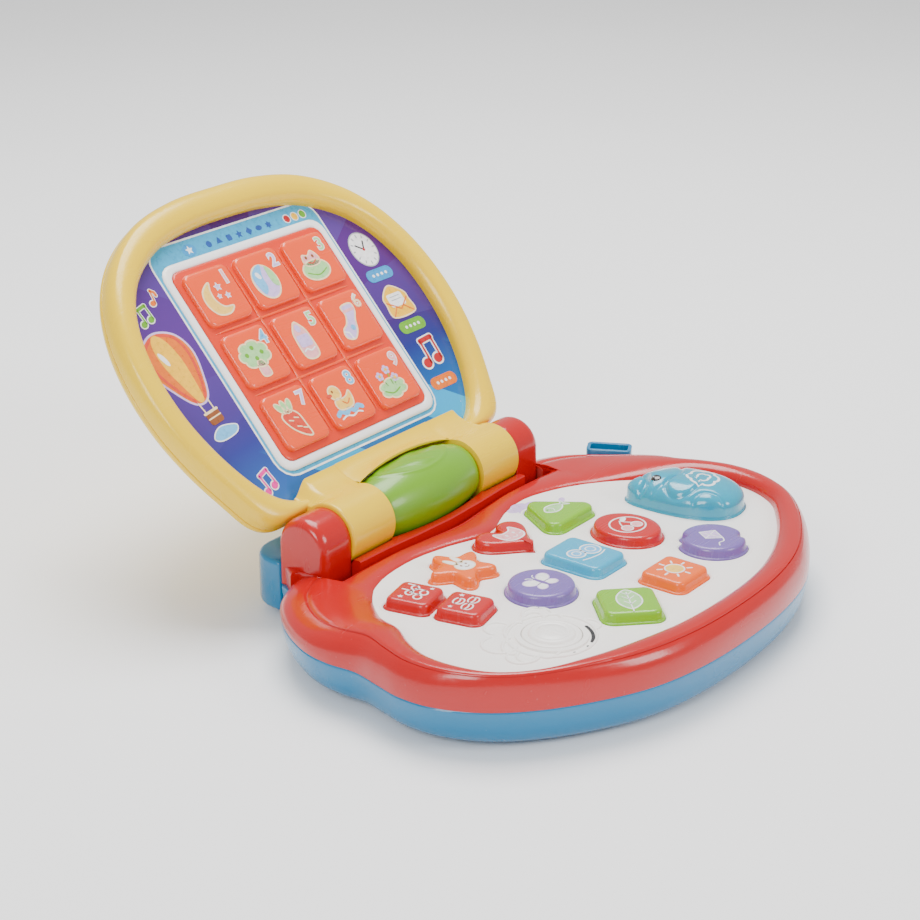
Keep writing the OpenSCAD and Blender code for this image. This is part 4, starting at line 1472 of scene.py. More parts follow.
def draw_butterfly(s: PrintSheet) -> None:
    """Two pairs of wings about a slim body.

    Args:
        s: sheet that takes the shapes.
    """
    for side in (-1, 1):
        s.outlined(ellipse(side * 4.3, 2.6, 4.3, 3.1, side * 30), Ink.WHITE, Ink.LILAC, 0.5)
        s.outlined(ellipse(side * 3.4, -3.2, 3.2, 2.4, side * -30), Ink.WHITE, Ink.LILAC, 0.5)
        s.line(smooth_path([[side * 0.5, 4.5], [side * 1.6, 6.6], [side * 2.8, 7.2]]), 0.5, Ink.WHITE, 4)
    s.fill(ellipse(0, 0, 1.0, 5.2), Ink.VIOLET, 4)


def draw_bubbles(s: PrintSheet) -> None:
    """Two round balls with rings.

    Args:
        s: sheet that takes the shapes.
    """
    for x, y, r in ((-4.2, 1.5, 4.4), (4.4, -0.6, 5.0)):
        s.outlined(ellipse(x, y, r, r), Ink.SKY, Ink.WHITE, 0.8)
        s.line(ellipse(x, y, r * 0.5, r * 0.5), 0.6, Ink.WHITE, 4, True)
    s.line(smooth_path([[-8, -5], [-3, -6.6], [3, -7.4], [8, -6.4]]), 0.7, Ink.WHITE)


def draw_cherry(s: PrintSheet) -> None:
    """Two cherries on their stalks, ringed in white.

    Args:
        s: sheet that takes the shapes.
    """
    s.line(ellipse(0, 0, 9.4, 8.6), 0.8, Ink.WHITE, 2, True)
    for x, y in ((-3.6, -2.4), (3.2, -3.2)):
        s.outlined(ellipse(x, y, 2.9, 2.8), Ink.ROSE, Ink.WHITE, 0.6)
        s.line(smooth_path([[x, y + 3], [x * 0.4, 3.4], [1.2, 5.6]]), 0.6, Ink.WHITE, 4)
    s.outlined(ellipse(3.6, 5.2, 2.6, 1.2, 20), Ink.WHITE, Ink.WHITE, 0.5)


def draw_leaf(s: PrintSheet) -> None:
    """Leaf with its veins.

    Args:
        s: sheet that takes the shapes.
    """
    s.outlined(smooth_loop([[-7, -6.5], [-6.6, 1], [-1, 6.2], [6.8, 6.8], [6.2, -1], [0.8, -6.4]], 6),
               Ink.MINT, Ink.WHITE, 0.7)
    s.line([[-8.6, -8.2], [5, 5]], 0.6, Ink.WHITE, 4)
    for k in (-3.4, 0, 3.2):
        s.line([[k, k], [k + 0.2, k + 4.0]], 0.45, Ink.WHITE, 4)
        s.line([[k, k], [k + 4.0, k + 0.2]], 0.45, Ink.WHITE, 4)


def draw_sun(s: PrintSheet) -> None:
    """Round sun with short rays.

    Args:
        s: sheet that takes the shapes.
    """
    s.outlined(ellipse(0, 0, 4.6, 4.6), Ink.PALE_YELLOW, Ink.WHITE, 0.7)
    for a in np.radians(np.arange(0, 360, 45)):
        d = np.array([math.cos(a), math.sin(a)])
        s.line([d * 6.0, d * 8.2], 0.9, Ink.WHITE)


def draw_kite(s: PrintSheet) -> None:
    """Kite with a bowed tail, for the moon key.

    Args:
        s: sheet that takes the shapes.
    """
    s.outlined([[-1, 7.4], [5.6, 2.6], [0.6, -5], [-5, 1.2]], Ink.LILAC, Ink.WHITE, 0.7)
    s.line([[-1, 7.4], [0.6, -5]], 0.5, Ink.WHITE, 4)
    s.line([[-5, 1.2], [5.6, 2.6]], 0.5, Ink.WHITE, 4)
    s.line(smooth_path([[0.6, -5], [-2, -7], [-5, -6.4], [-7.6, -8.2]]), 0.6, Ink.WHITE)


def draw_notes(s: PrintSheet) -> None:
    """Cluster of notes in white line, with small stars.

    Args:
        s: sheet that takes the shapes.
    """
    for x, y, r in ((-3.8, -3.0, 2.3), (1.2, -4.0, 2.3), (4.4, 1.8, 2.2), (-1.4, 2.2, 2.2)):
        s.line(ellipse(x, y, r, r * 0.8, 20), 0.8, Ink.WHITE, 2, True)
        s.line([[x + r, y], [x + r + 0.4, y + 4.6]], 0.8, Ink.WHITE)
    s.line([[-1.1, 1.7], [3.9, 0.8]], 1.0, Ink.WHITE)
    s.fill(star_points(5, 1.5, 0.7) + (-6.2, 4.4), Ink.WHITE)
    s.fill(star_points(5, 1.3, 0.6) + (6.6, -5.6), Ink.WHITE)


def draw_drums(s: PrintSheet) -> None:
    """Cluster of little drums in white line.

    Args:
        s: sheet that takes the shapes.
    """
    for x, y in ((-3.6, -2.6), (3.6, -2.6), (0, 3.2)):
        s.line(ellipse(x, y + 1.2, 2.9, 1.4), 0.7, Ink.WHITE, 2, True)
        s.line(smooth_path([[x - 2.9, y + 1.2], [x - 2.6, y - 1.4], [x, y - 2.3], [x + 2.6, y - 1.4],
                            [x + 2.9, y + 1.2]]), 0.7, Ink.WHITE)
    s.fill(star_points(5, 1.5, 0.7) + (6.2, 4.6), Ink.WHITE)
    s.fill(star_points(5, 1.3, 0.6) + (-6.4, 4.8), Ink.WHITE)


def keys() -> list[Key]:
    """The eleven press keys.

    Returns:
        One entry for each key.
    """
    music = rounded([[-7, -7], [7, -7], [7, 7], [-7, 7]], 5)
    step = np.array([0, 12.6]) @ turning(13).T
    return [
        Key("star_button", star_line(), (-45, -63), KEY_ORANGE, "orange_key", draw_rabbit),
        Key("heart_button", heart_line(), (-4, -62), KEY_RED, "red_key", draw_cat),
        Key("triangle_button", rounded([[-1, 9.5], [-11.5, -8.5], [12, -8.5]], 6.5), (35, -60), KEY_GREEN,
            "green_key", draw_fish),
        Key("circle_button", ellipse(0, 0, 17, 17, 0, 120), (-38, -104), KEY_PURPLE, "purple_key",
            draw_butterfly),
        Key("rectangle_button", rounded([[-8.5, -12], [8.5, -12], [8.5, 12], [-8.5, 12]], 5.5, 120),
            (1, -101), KEY_SKY, "sky_key", draw_bubbles),
        Key("oval_button", ellipse(0, 0, 16.2, 18.6, 0, 120), (40, -100), KEY_RED, "red_key", draw_cherry),
        Key("diamond_button", rounded([[0, -12.5], [12.5, 0], [0, 12.5], [-12.5, 0]], 6, 120), (-29, -146),
            KEY_GREEN, "green_key", draw_leaf),
        Key("square_button", rounded([[-9, -8], [9, -8], [9, 8], [-9, 8]], 5, 120), (11, -145), KEY_ORANGE,
            "orange_key", draw_sun),
        Key("moon_button", moon_line(), (54, -140), KEY_PURPLE, "purple_key", draw_kite),
        Key("music_key_back", music, (-79 + step[0], -77 + step[1]), KEY_RED, "red_key", draw_notes, 13),
        Key("music_key_front", music, (-79 - step[0], -77 - step[1]), KEY_RED, "red_key", draw_drums, 13),
    ]


@dataclass
class AnimalKey:
    """Mouse key in the form of a resting elephant calf, head towards the screen."""

    placing: Placing
    at: tuple[float, float] = (93.0, -103.0)
    turn: float = 10.0
    wall_top: float = 36.5
    crown: float = 10.0

    def surface(self, across: np.ndarray, along: np.ndarray, height: np.ndarray) -> np.ndarray:
        """Raises and sinks the crown: round bumps for head, ear and feet, and creases
        between head, trunk and body, each a Gaussian of the distance to it.

        Args:
            across: place across the back, in the key's own frame.
            along: place along the back.
            height: height of the plain crown.

        Returns:
            New heights.
        """
        def bump(x: float, y: float, rx: float, ry: float, rise: float) -> np.ndarray:
            """Soft mound: rise times a bell curve of the distance in half widths.

            Args:
                x, y: middle of the mound.
                rx, ry: half widths.
                rise: height at the middle.

            Returns:
                Rise at every place.
            """
            return rise * np.exp(-(((across - x) / rx) ** 2) - (((along - y) / ry) ** 2))

        free = np.clip((height - 33.5) / 3.0, 0, 1)
        trunk_gap = np.sqrt((across + 12) ** 2 + ((along - 31) * 1.0) ** 2)
        crease = -3.0 * np.exp(-(((trunk_gap - 11.5) / 1.7) ** 2))
        neck = -0.9 * np.exp(-(((along - 7 - 0.02 * across**2) / 1.5) ** 2))
        ear_gap = np.sqrt(((across + 9) / 8.5) ** 2 + ((along - 1) / 7.5) ** 2)
        ear = 1.0 / (1 + np.exp((ear_gap - 1) / 0.06)) - 0.9 * np.exp(-(((ear_gap - 1.1) / 0.09) ** 2))
        change = crease + neck + 1.1 * ear + bump(-4, 17, 8, 7, 1.2) + bump(-17, -17, 5, 6,
                                                                            1.6) + bump(-13, 31, 6, 5, 1.4)
        foot_gap = np.sqrt(((across + 17.5) / 6.5) ** 2 + ((along + 17) / 8) ** 2)
        change = change - 1.0 * np.exp(-(((foot_gap - 1.05) / 0.12) ** 2))
        return np.minimum(height + free * change, self.wall_top + self.crown - 0.02)

    def build(self) -> None:
        """Rings of the outline close in as they rise, then take the calf's relief."""
        line = mouse_line()
        tilt = np.radians(np.concatenate([np.linspace(0, 20, 6), np.linspace(22, 87, 40)]))
        rings = [lifted(line * 0.18, 24.3), lifted(line * 0.18, 26.3),
                 lifted(line + outward(line) * 1.2, 26.3),
                 lifted(line + outward(line) * 1.2, 28.9), lifted(line, 28.9), lifted(line, 31.6),
                 lifted(line + outward(line) * -0.15, 32.0), lifted(line + outward(line) * -0.6, 32.2)]
        for z in (32.5, 33.5, 34.5, 35.5):
            rings.append(lifted(line + outward(line) * (-0.75 - (z - 32.5) * 0.05), z))
        shell = line + outward(line) * -0.9
        for t in tilt:
            ring = shell * np.cos(t) ** 0.75
            z = self.wall_top + (self.crown - 0.6) * np.sin(t)
            rings.append(np.column_stack([ring, self.surface(ring[:, 0], ring[:, 1],
                                                             np.full(len(ring), z))]))
        top = float(rings[-1][:, 2].mean())
        points, faces = loft(rings, [(0, 0, 24.3), (0, 0, top)])
        points[:, :2] = points[:, :2] @ turning(self.turn).T + self.at
        place = self.placing.base
        piece = make_piece("animal_mouse_key", (points, faces), place, "mouse_key", ANIMAL.make(),
                           75)
        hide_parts("mouse_key")
        self.build_eye()
        self.build_patch()

    def height_at(self, across: np.ndarray, along: np.ndarray) -> np.ndarray:
        """Height of the finished crown over places in the key's own frame: the ring that
        passes there gives the plain height.

        Args:
            across, along: places in the key's own frame.

        Returns:
            Height at each place.
        """
        line = mouse_line() + outward(mouse_line()) * -0.9
        edge_angle = np.arctan2(line[:, 1], line[:, 0])
        order = np.argsort(edge_angle)
        reach = np.interp(np.arctan2(along, across), edge_angle[order], np.linalg.norm(line, axis=1)[order],
                          period=2 * np.pi)
        share = np.clip(np.hypot(across, along) / reach, 0, 1)
        tilt = np.arccos(share ** (1 / 0.75))
        return self.surface(across, along, self.wall_top + (self.crown - 0.6) * np.sin(tilt))

    def build_eye(self) -> None:
        """Black domed eye with a white glint, set on the near side of the head."""
        for name, spot, size, finish in (("animal_key_eye", (-9.4, 15.0), (2.3, 2.7), BLACK),
                                         ("animal_key_eye_glint", (-9.6, 16.2), (0.4, 0.4), FRAME_WHITE)):
            z = float(self.height_at(np.array([spot[0]]), np.array([spot[1]]))[0])
            rise = 0.7 if finish is BLACK else 0.95
            t = np.radians(np.linspace(-60, 84, 12))
            rings = [np.column_stack([ellipse(*spot, size[0] * math.cos(k), size[1] * math.cos(k), 0, 32),
                                      np.full(32, z + rise * math.sin(k))]) for k in t]
            ring_shift = np.stack(rings)
            slope = self.height_at(ring_shift[..., 0].ravel(),
                                   ring_shift[..., 1].ravel()).reshape(ring_shift.shape[:2])
            ring_shift[..., 2] += slope - z
            points, faces = loft(ring_shift, [ring_shift[0].mean(0), ring_shift[-1].mean(0)])
            points[:, :2] = points[:, :2] @ turning(self.turn).T + self.at
            make_piece(name, (points, faces), self.placing.base, "mouse_key", finish.make())

    def build_patch(self) -> None:
        """White ring and cloud printed on the back, draped over its curve."""
        for name, path, width, ink in (("ring", cloud_line(6, 9.5, 8, 0.18) @ turning(20).T + (1, -6), 1.3,
                                        Ink.WHITE),
                                       ("dash", cloud_line(4, 4.6, 3.6, 0.25) + (1, -6), 1.1, Ink.WHITE)):
            path = resample(path, 120)
            side = outward(path) * width / 2
            rings = []
            for k, up in ((1, -0.2), (1, 0.08), (-1, 0.08), (-1, -0.2)):
                q = path + side * k
                rings.append(np.column_stack([q, self.height_at(q[:, 0], q[:, 1]) + up]))
            points, faces = loft(rings)
            points[:, :2] = points[:, :2] @ turning(self.turn).T + self.at
            make_piece(f"animal_key_{name}_print", (points, faces), self.placing.base, "mouse_key",
                       ink.material())


@dataclass
class VolumeDial:
    """White dial with two turned grooves and a finger ridge."""

    placing: Placing
    at: tuple[float, float] = (-71.0, -133.0)
    radius: float = 13.5
    plate_top: float = 31.5

    def build(self) -> None:
        """Turned disc, the ridge across it as a half-round bead, and the fixed collar round it."""
        r = self.radius
        profile = [(r + 1.2, 26.9), (r + 1.2, 28.9), (r, 28.9), (r, 32.3), (r - 0.25, 32.7),
                   (r - 0.7, 32.9),
                   (r - 1.6, 32.95), (r - 2.0, 32.55), (r - 2.5, 32.55), (r - 2.9, 33.1), (r - 3.4, 33.6),
                   (r - 4.2, 33.9), (r - 5.4, 33.95), (r - 5.8, 33.6), (r - 6.2, 33.6), (r - 6.6, 33.95),
                   (4.0, 34.1), (1.0, 34.15)]
        place = self.placing.base
        piece = make_piece("volume_dial_disc", revolve(profile, self.at), place, "volume_dial",
                           WHITE.make(), 50)
        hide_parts("volume_dial")
        x, y = self.at
        ridge = np.column_stack([np.full(24, x), np.linspace(y - 6.6, y + 6.6, 24)])
        make_piece("volume_dial_ridge", bead(ridge, 2.6, 0.35, 34.1, False), place, "volume_dial",
                   WHITE.make())
        collar = [bead(ellipse(x, y, r + 1.7, r + 1.7, 0, 96), 2.2, 0.95, self.plate_top)]
        make_piece("dial_collar", joined(collar), place, "base", WHITE.make())


# ---- Lid --------------------------------------------------------------------------------

LID_HALF = [[0, 21.6], [22, 19.3], [40, 16], [66.5, 15.4], [84, 15.7], [94, 22], [101, 37], [108.5, 57],
            [113.5, 80], [114, 104], [109.5, 128], [99, 150], [82, 168], [58, 181], [30, 187], [0, 188]]
OPENING_HALF = [[0, 30.5], [22, 27.5], [38, 23.5], [54, 21.5], [68, 23.5], [79, 31], [88, 45], [95, 63],
                [99, 82],
                [99.5, 103], [96, 122], [87.5, 140], [73.5, 154.5], [52, 165.5], [27, 170], [0, 171]]


@dataclass
class Lid:
    """Yellow lid shells, the printed panel, the tiled window and its prints."""

    placing: Placing
    window_up: float = 96.5
    window: float = 110.0
    pitch: float = 36.0
    tile: float = 30.5
    panel: float = 9.8

    def edge(self) -> np.ndarray:
        """The lid's outline, drawn in by 0.2 per cent about its middle."""
        return smooth_loop(both_sides(LID_HALF), 10) * 0.998 + (0, 0.2)

    def build_bezel(self) -> None:
        """Yellow rim between the lid's edge and its opening, each ring a share of the way
        across at its own depth, with the two barrels flowing out of its lower side."""
        edge = self.edge()
        hole = smooth_loop(both_sides(OPENING_HALF), 10)
        front = smooth_path([[0, 11.2], [0, 7], [0.06, 4], [0.18, 2], [0.4, 1], [0.58, 1], [0.78, 1.9],
                             [0.92, 3.8],
                             [1, 6.4], [1, 9.8]], 5)
        back = np.array([[0.84, 9.8], [0.82, 6.4], [0.6, 3.4], [0.4, 3.3], [0.22, 5], [0.16, 8], [0.15, 12],
                         [0.02, 12], [0.005, 11.7]])
        rings = [lifted(edge * (1 - k) + hole * k, -d) for k, d in np.vstack([front, back])]
        piece = make_piece("yellow_lid_bezel", loft(rings), self.placing.lid, "lid", YELLOW.make(),
                           50)
        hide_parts("lid_front_bezel")
        arms = joined([self.arm(-1), self.arm(1), self.collar()])
        make_piece("yellow_lid_barrels", arms, self.placing.lid, "lid", YELLOW.make(), 50)

    def arm(self, side: int, inner: float = 35.6, outer: float = 66.2, radius: float = 16.3) -> Solid:
        """Barrel whose round section runs into the bezel's face along a quadratic curve,
        carried along the hinge line with its two ends rounded off.

        Args:
            side: -1 on the left, 1 on the right.
            inner, outer: distances of its ends from the middle.
            radius: radius of the barrel.

        Returns:
            Closed solid.
        """
        u = np.radians(np.linspace(0, 90, 8))
        ease = 1.2
        along = np.concatenate([inner + ease * (1 - np.cos(u)), np.linspace(inner + 2.2, outer - 2.2, 22),
                                outer - ease * (1 - np.cos(u))[::-1]])
        drawn = np.concatenate([ease * (1 - np.sin(u)), np.zeros(22), ease * (1 - np.sin(u))[::-1]])
        far, near = (np.clip(q / 8.5, 0, 1) for q in (outer - along, along - inner))
        far, near = far * far * (3 - 2 * far), near * near * (3 - 2 * near)
        drawn[:8] = 0
        rings = []
        for x, d, k, reach in zip(along, drawn, far, np.minimum(far, 0.55 + 0.45 * near)):
            a = np.radians(np.linspace(2 + 36 * reach, 300, 66))
            circle = np.column_stack([np.cos(a), np.sin(a)]) * (radius - d)
            t = np.linspace(0, 1, 14)[:, None]
            bend = np.array([19.5 + 2.8 * k, -3.2 + 2.05 * k])
            stop = np.array([24.0 + 6.0 * k, -6.5 + 4.9 * k])
            fillet = (1 - t) ** 2 * circle[0] + 2 * t * (1 - t) * bend + t**2 * stop
            under = np.array([[23.0 + 4 * k, -8.0], [21, -9.8], [16, -11.6], [12, -12.6]])
            section = np.vstack([fillet[::-1][:-1], circle, under[::-1]])
            rings.append(np.column_stack([np.full(len(section), side * x), section]))
        return loft(rings, [(side * along[0], 4, -2), (side * along[-1], 4, -2)])

    def collar(self, half: float = 35.7, start: float = 21.8) -> Solid:
        """Saddle that hugs the green cover between the barrels: an arc 0.8 clear of the
        cover, a rounded lip, and a curve that runs out on the bezel's face.

        Args:
            half: half its length along the hinge.
            start: angle in degrees at which the arc ends.

        Returns:
            Closed solid.
        """
        rings = []
        for x in np.linspace(-half, half, 61):
            inside = 20.2 - 3.8 * (x / 35.6) ** 2
            lip = inside + 1.5 - 1.6 * abs(x / half) ** 3
            a = np.radians(np.linspace(-25, start - 3, 16))
            arc = np.column_stack([np.cos(a), np.sin(a)]) * inside
            b = np.radians(np.array([start - 1.4, start - 0.4, start]))
            turn = np.column_stack([np.cos(b), np.sin(b)]) * np.array([[inside + 0.15], [inside + 0.6],
                                                                       [lip]])
            t = np.linspace(0, 1, 16)[1:, None]
            bend, stop = np.array([22.6, -1.0]), np.array([30.2, -1.5])
            run = (1 - t) ** 2 * turn[-1] + 2 * t * (1 - t) * bend + t**2 * stop
            section = np.vstack([arc, turn, run, [[29, -5], [22, -9]]])
            rings.append(np.column_stack([np.full(len(section), x), section]))
        return loft(rings, [(-half, 23, -4), (half, 23, -4)])

    def build_back(self) -> None:
        """Back shell: the lid's outline drawn in towards its middle as it goes back, with
        a shallow raised oval on its flat."""
        edge = self.edge()
        centre = np.array([0, 100.0])
        outer = smooth_path([[0.90, 20], [0.94, 19.6], [0.972, 18.2], [0.992, 16], [1, 14], [1, 12.7]], 5)
        middle = [[0.05, 19.6], [0.3, 19.6], [0.60, 19.6], [0.615, 19.75], [0.63, 20], [0.88, 20]]
        inner = [[0.996, 12.3], [0.98, 12.1], [0.97, 15.6], [0.93, 17.6], [0.88, 18]]
        rings = [lifted(centre + (edge - centre) * k, -d) for k, d in np.vstack([middle, outer, inner])]
        shell = loft(rings, [(0, 100, -19.6), (0, 100, -18)])
        piece = make_piece("yellow_lid_back", shell, self.placing.lid, "lid", YELLOW.make(),
                           50)
        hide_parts("lid_back_shell")

    def square(self, half: float, radius: float, count: int = 160) -> np.ndarray:
        """Rounded square about the window's middle."""
        k = half - radius
        return rounded([[-k, -k], [k, -k], [k, k], [-k, k]], radius, count) + (0, self.window_up)

    def build_window(self) -> None:
        """White border ring, orange bed, and nine pillow tiles whose rings step in and up."""
        place = self.placing.lid
        deep = -self.panel
        border = [(59.6, 8.2, deep), (59.6, 8.2, deep + 0.6), (59.0, 7.8, deep + 1.15),
                  (58, 7.2, deep + 1.35),
                  (56.4, 6.4, deep + 1.4), (55.6, 5.9, deep + 1.2), (55.2, 5.6, deep + 0.8),
                  (55.2, 5.6, deep)]
        ring = loft([lifted(self.square(h, r), z) for h, r, z in border])
        piece = make_piece("white_window_border", ring, place, "lid", FRAME_WHITE.make())
        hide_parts("window_frame")
        bed = [(54.9, 5.4, deep - 2), (54.9, 5.4, deep + 1.2), (54.6, 5.1, deep + 1.5),
               (54.0, 4.6, deep + 1.6)]
        solid = loft([lifted(self.square(h, r), z) for h, r, z in bed],
                     [(0, self.window_up, deep - 2), (0, self.window_up, deep + 1.6)])
        piece = make_piece("orange_window_bed", solid, place, "lid", TILE_BED.make())
        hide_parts("screen_window")
        half = self.tile / 2
        rise = [(0, 0.8), (0, 2.9), (0.15, 3.4), (0.5, 3.85), (1.1, 4.15), (2.0, 4.28), (3.2, 4.3)]
        tiles = []
        for i in (-1, 0, 1):
            for j in (-1, 0, 1):
                middle = np.array([i * self.pitch, self.window_up + j * self.pitch])
                k = half - 4.2
                loop = rounded([[-k, -k], [k, -k], [k, k], [-k, k]], 4.2, 96) + middle
                rings = [lifted(loop - outward(loop) * d, deep + z) for d, z in rise]
                rings.append(lifted(middle + (loop - middle) * 0.3, deep + 4.3))
                tiles.append(loft(rings, [(*middle, deep + 0.8), (*middle, deep + 4.3)]))
        make_piece("orange_tiles", joined(tiles), place, "lid", TILE.make())
        ribs = []
        for k in (-0.5, 0.5):
            x = k * self.pitch
            ribs += [bead(np.column_stack([np.full(30, x), np.linspace(-50, 50, 30) + self.window_up]), 1.6,
                          0.9, deep + 1.6, False),
                     bead(np.column_stack([np.linspace(-50, 50, 30), np.full(30, x + self.window_up)]), 1.6,
                          0.9, deep + 1.6, False)]
        make_piece("orange_window_ribs", joined(ribs), place, "lid", TILE.make())

    def print_tiles(self) -> None:
        """Figures 1 to 9, each with a small picture, in pale inks on the tiles."""
        pictures = [draw_moon, draw_ball, draw_frog, draw_tree, draw_crayon, draw_sock, draw_carrot,
                    draw_duck, draw_bush]
        inks = [Ink.ROSE, Ink.LILAC, Ink.MINT, Ink.SKY, Ink.MINT, Ink.CREAM, Ink.LILAC, Ink.SKY, Ink.ROSE]
        sheet = PrintSheet(self.placing.lid, -self.panel + 4.3)
        for index, (picture, ink) in enumerate(zip(pictures, inks)):
            x = (index % 3 - 1) * self.pitch
            y = self.window_up + (1 - index // 3) * self.pitch
            picture(sheet.at(x - 1.6, y - 1.4))
            sheet.at(x, y).number(index + 1, 9.6, 7.6, 10.5, ink)
        sheet.build("tile", "lid")

    def print_panel(self) -> None:
        """Plaque behind the window, its header marks, and the pictures at both sides."""
        sheet = PrintSheet(self.placing.lid, -self.panel, 0.06)
        plaque = rounded([[-51, 45], [51, 45], [51, 156.5], [-51, 156.5]], 10.5, 120)
        sheet.fill(plaque, Ink.POOL, 1)
        sheet.line(plaque, 1.0, Ink.WHITE, 2, True)
        glow = rounded([[-50, 47], [50, 47], [50, 145.5], [-50, 145.5]], 9.5, 120)
        sheet.fill(glow, Ink.WHITE, 2)
        for x, ink in ((39.5, Ink.RED), (45.5, Ink.YELLOW), (51.5, Ink.LEAF)):
            sheet.outlined(ellipse(x, 160.3, 2.4, 2.4), ink, Ink.WHITE, 0.5)
        sheet.fill(ellipse(-33, 160.6, 4.6, 3.4), Ink.AQUA, 3)
        sheet.fill(star_points(5, 2.6, 1.2) + (-33, 160.6), Ink.WHITE, 4)
        for k, loop in enumerate((ellipse(0, 0, 1.8, 1.8), star_points(3, 2.4, 1.2),
                                  rounded([[-1, -1], [1, -1], [1, 1], [-1, 1]], 0.7, 24),
                                  star_points(5, 2.4, 1.1), star_points(4, 2.3, 1.6),
                                  ellipse(0, 0, 2.2, 1.4), star_points(6, 2.2, 1.3))):
            sheet.fill(loop + (-19 + k * 7.4, 160.5), Ink.BLUE, 3)
        draw_clock(sheet.at(77.5, 130.5))
        draw_letter(sheet.at(77.5, 97.0))
        draw_note(sheet.at(76.0, 65.5, -4, 1.55), Ink.RED, True)
        for y, ink in ((114.6, Ink.AQUA), (82.0, Ink.LEAF), (47.6, Ink.ORANGE)):
            pill = rounded([[-6.6, 0], [6.6, 0]], 3.3, 48) + (77.5 - (3 if y < 60 else 0), y)
            sheet.outlined(pill, ink, ink, 0.6)
            for dx in (-5, -1.7, 1.7, 5):
                sheet.fill(ellipse(77.5 + dx - (3 if y < 60 else 0), y, 0.9, 0.9), Ink.WHITE, 4)
        draw_note(sheet.at(-83, 136, 6, 0.95), Ink.LEAF, True)
        draw_note(sheet.at(-72.5, 144, -8, 0.85), Ink.ORANGE)
        draw_note(sheet.at(-73, 37.5, 10, 1.05), Ink.PINK, True)
        draw_balloon(sheet.at(-80.5, 93, 8))
        sheet.build("panel", "lid")

    def build(self) -> None:
        """Makes every piece of the lid."""
        self.build_bezel()
        self.build_back()
        dress("screen_panel", ScreenPrint("lid backdrop print", self.placing).make())
        self.build_window()
        self.print_tiles()
        self.print_panel()


def draw_clock(s: PrintSheet) -> None:
    """Round clock face with twelve ticks and two hands.

    Args:
        s: sheet that takes the shapes.
    """
    s.fill(ellipse(0, 0, 9.6, 10.6, 0, 60), Ink.GREY, 1)
    s.fill(ellipse(0, 0, 8.9, 9.9, 0, 60), Ink.WHITE, 2)
    for k in range(12):
        a = math.radians(k * 30)
        d = np.array([math.sin(a), math.cos(a) * 1.1])
        s.line([d * 6.9, d * 8.0], 0.8, Ink.GREY, 3)
    s.line([[0, 0], [2.4, 4.6]], 0.9, Ink.BLACK, 4)
    s.line([[0, 0], [-4.4, 3.4]], 0.8, Ink.BLACK, 4)
    s.fill(ellipse(0, 0, 0.9, 0.9), Ink.RED, 5)


def draw_letter(s: PrintSheet) -> None:
    """Open yellow envelope with a white sheet in it.

    Args:
        s: sheet that takes the shapes.
    """
    s.outlined(smooth_loop([[-8.4, -8], [8.4, -8], [9, 0], [8.2, 4.6], [0, 10], [-8.2, 4.6], [-9, 0]], 6),
               Ink.YELLOW, Ink.CREAM, 0.8)
    s.fill(rounded([[-4.6, -1.4], [4.6, -1.4], [4.6, 4.0], [-4.6, 4.0]], 1.2, 40), Ink.WHITE, 4)
    for y in (3.4, 1.4):
        s.line([[-3.6, y], [3.6, y]], 0.5, Ink.GREY, 5)
    s.line([[-8.2, 1], [0, -4.4], [8.2, 1]], 0.8, Ink.ORANGE, 5)
    s.line([[-8, -7.4], [-2.6, -2.6]], 0.6, Ink.ORANGE, 5)
    s.line([[8, -7.4], [2.6, -2.6]], 0.6, Ink.ORANGE, 5)


def draw_balloon(s: PrintSheet) -> None:
    """Striped hot-air balloon with its basket and a small cloud.

    Args:
        s: sheet that takes the shapes.
    """
    bag = smooth_loop([[0, 33], [11.5, 28], [15, 17], [10.5, 4], [4, -6], [-4, -6], [-10.5, 4], [-15, 17],
                       [-11.5, 28]], 7)
    s.line(bag, 2.2, Ink.LILAC, 1, True)
    s.fill(bag, Ink.ORANGE, 2)
    s.fill(smooth_loop([[0, 32.6], [4.6, 28], [6.2, 17], [4.4, 4], [1.8, -6], [-1.8, -6], [-4.4, 4],
                        [-6.2, 17], [-4.6, 28]], 7), Ink.YELLOW, 3)
    for side in (-1, 1):
        s.line(smooth_path([[side * 3, 31.8], [side * 10.6, 27], [side * 12.4, 17], [side * 8.6, 4],
                            [side * 3.4, -5.6]]), 1.6, Ink.CORAL, 3)
        s.line([[side * 3.4, -6], [side * 3, -12.6]], 0.7, Ink.CREAM, 3)
    s.fill(rounded([[-3, -18], [3, -18], [3, -14], [-3, -14]], 1.6, 40), Ink.BROWN, 3)
    s.line([[-4.4, -12.8], [4.4, -12.8]], 1.3, Ink.CREAM, 4)
    s.line([[-4.2, -16], [4.2, -16]], 0.7, Ink.CREAM, 4)
    s.fill(ellipse(-3.4, 20, 1.4, 4.2, 12), Ink.WHITE, 4)
    cloud = smooth_loop([[-5, -28], [-9, -25.5], [-6, -22.6], [-1.4, -21.4], [4, -22.6], [8.4, -25],
                         [5, -28]], 6)
    s.fill(cloud, Ink.SKY, 2)
    s.line(cloud, 0.6, Ink.WHITE, 3, True)


def draw_moon(s: PrintSheet) -> None:
    """Crescent moon with stars.

    Args:
        s: sheet that takes the shapes.
    """
    moon = smooth_loop([[-1, 9], [-7.6, 5], [-9.2, -2], [-5.6, -8.4], [1.6, -9.6], [6.2, -6.4], [0.6, -5.4],
                        [-2.6, -1], [-2.6, 4.4]], 7)
    s.outlined(moon, Ink.PALE_YELLOW, Ink.CREAM, 0.9)
    for x, y, r in ((3.4, 5.4, 2.4), (6.6, -0.4, 1.9), (1.2, 0.4, 1.5)):
        s.outlined(star_points(5, r, r * 0.5) + (x, y), Ink.LILAC, Ink.WHITE, 0.4)


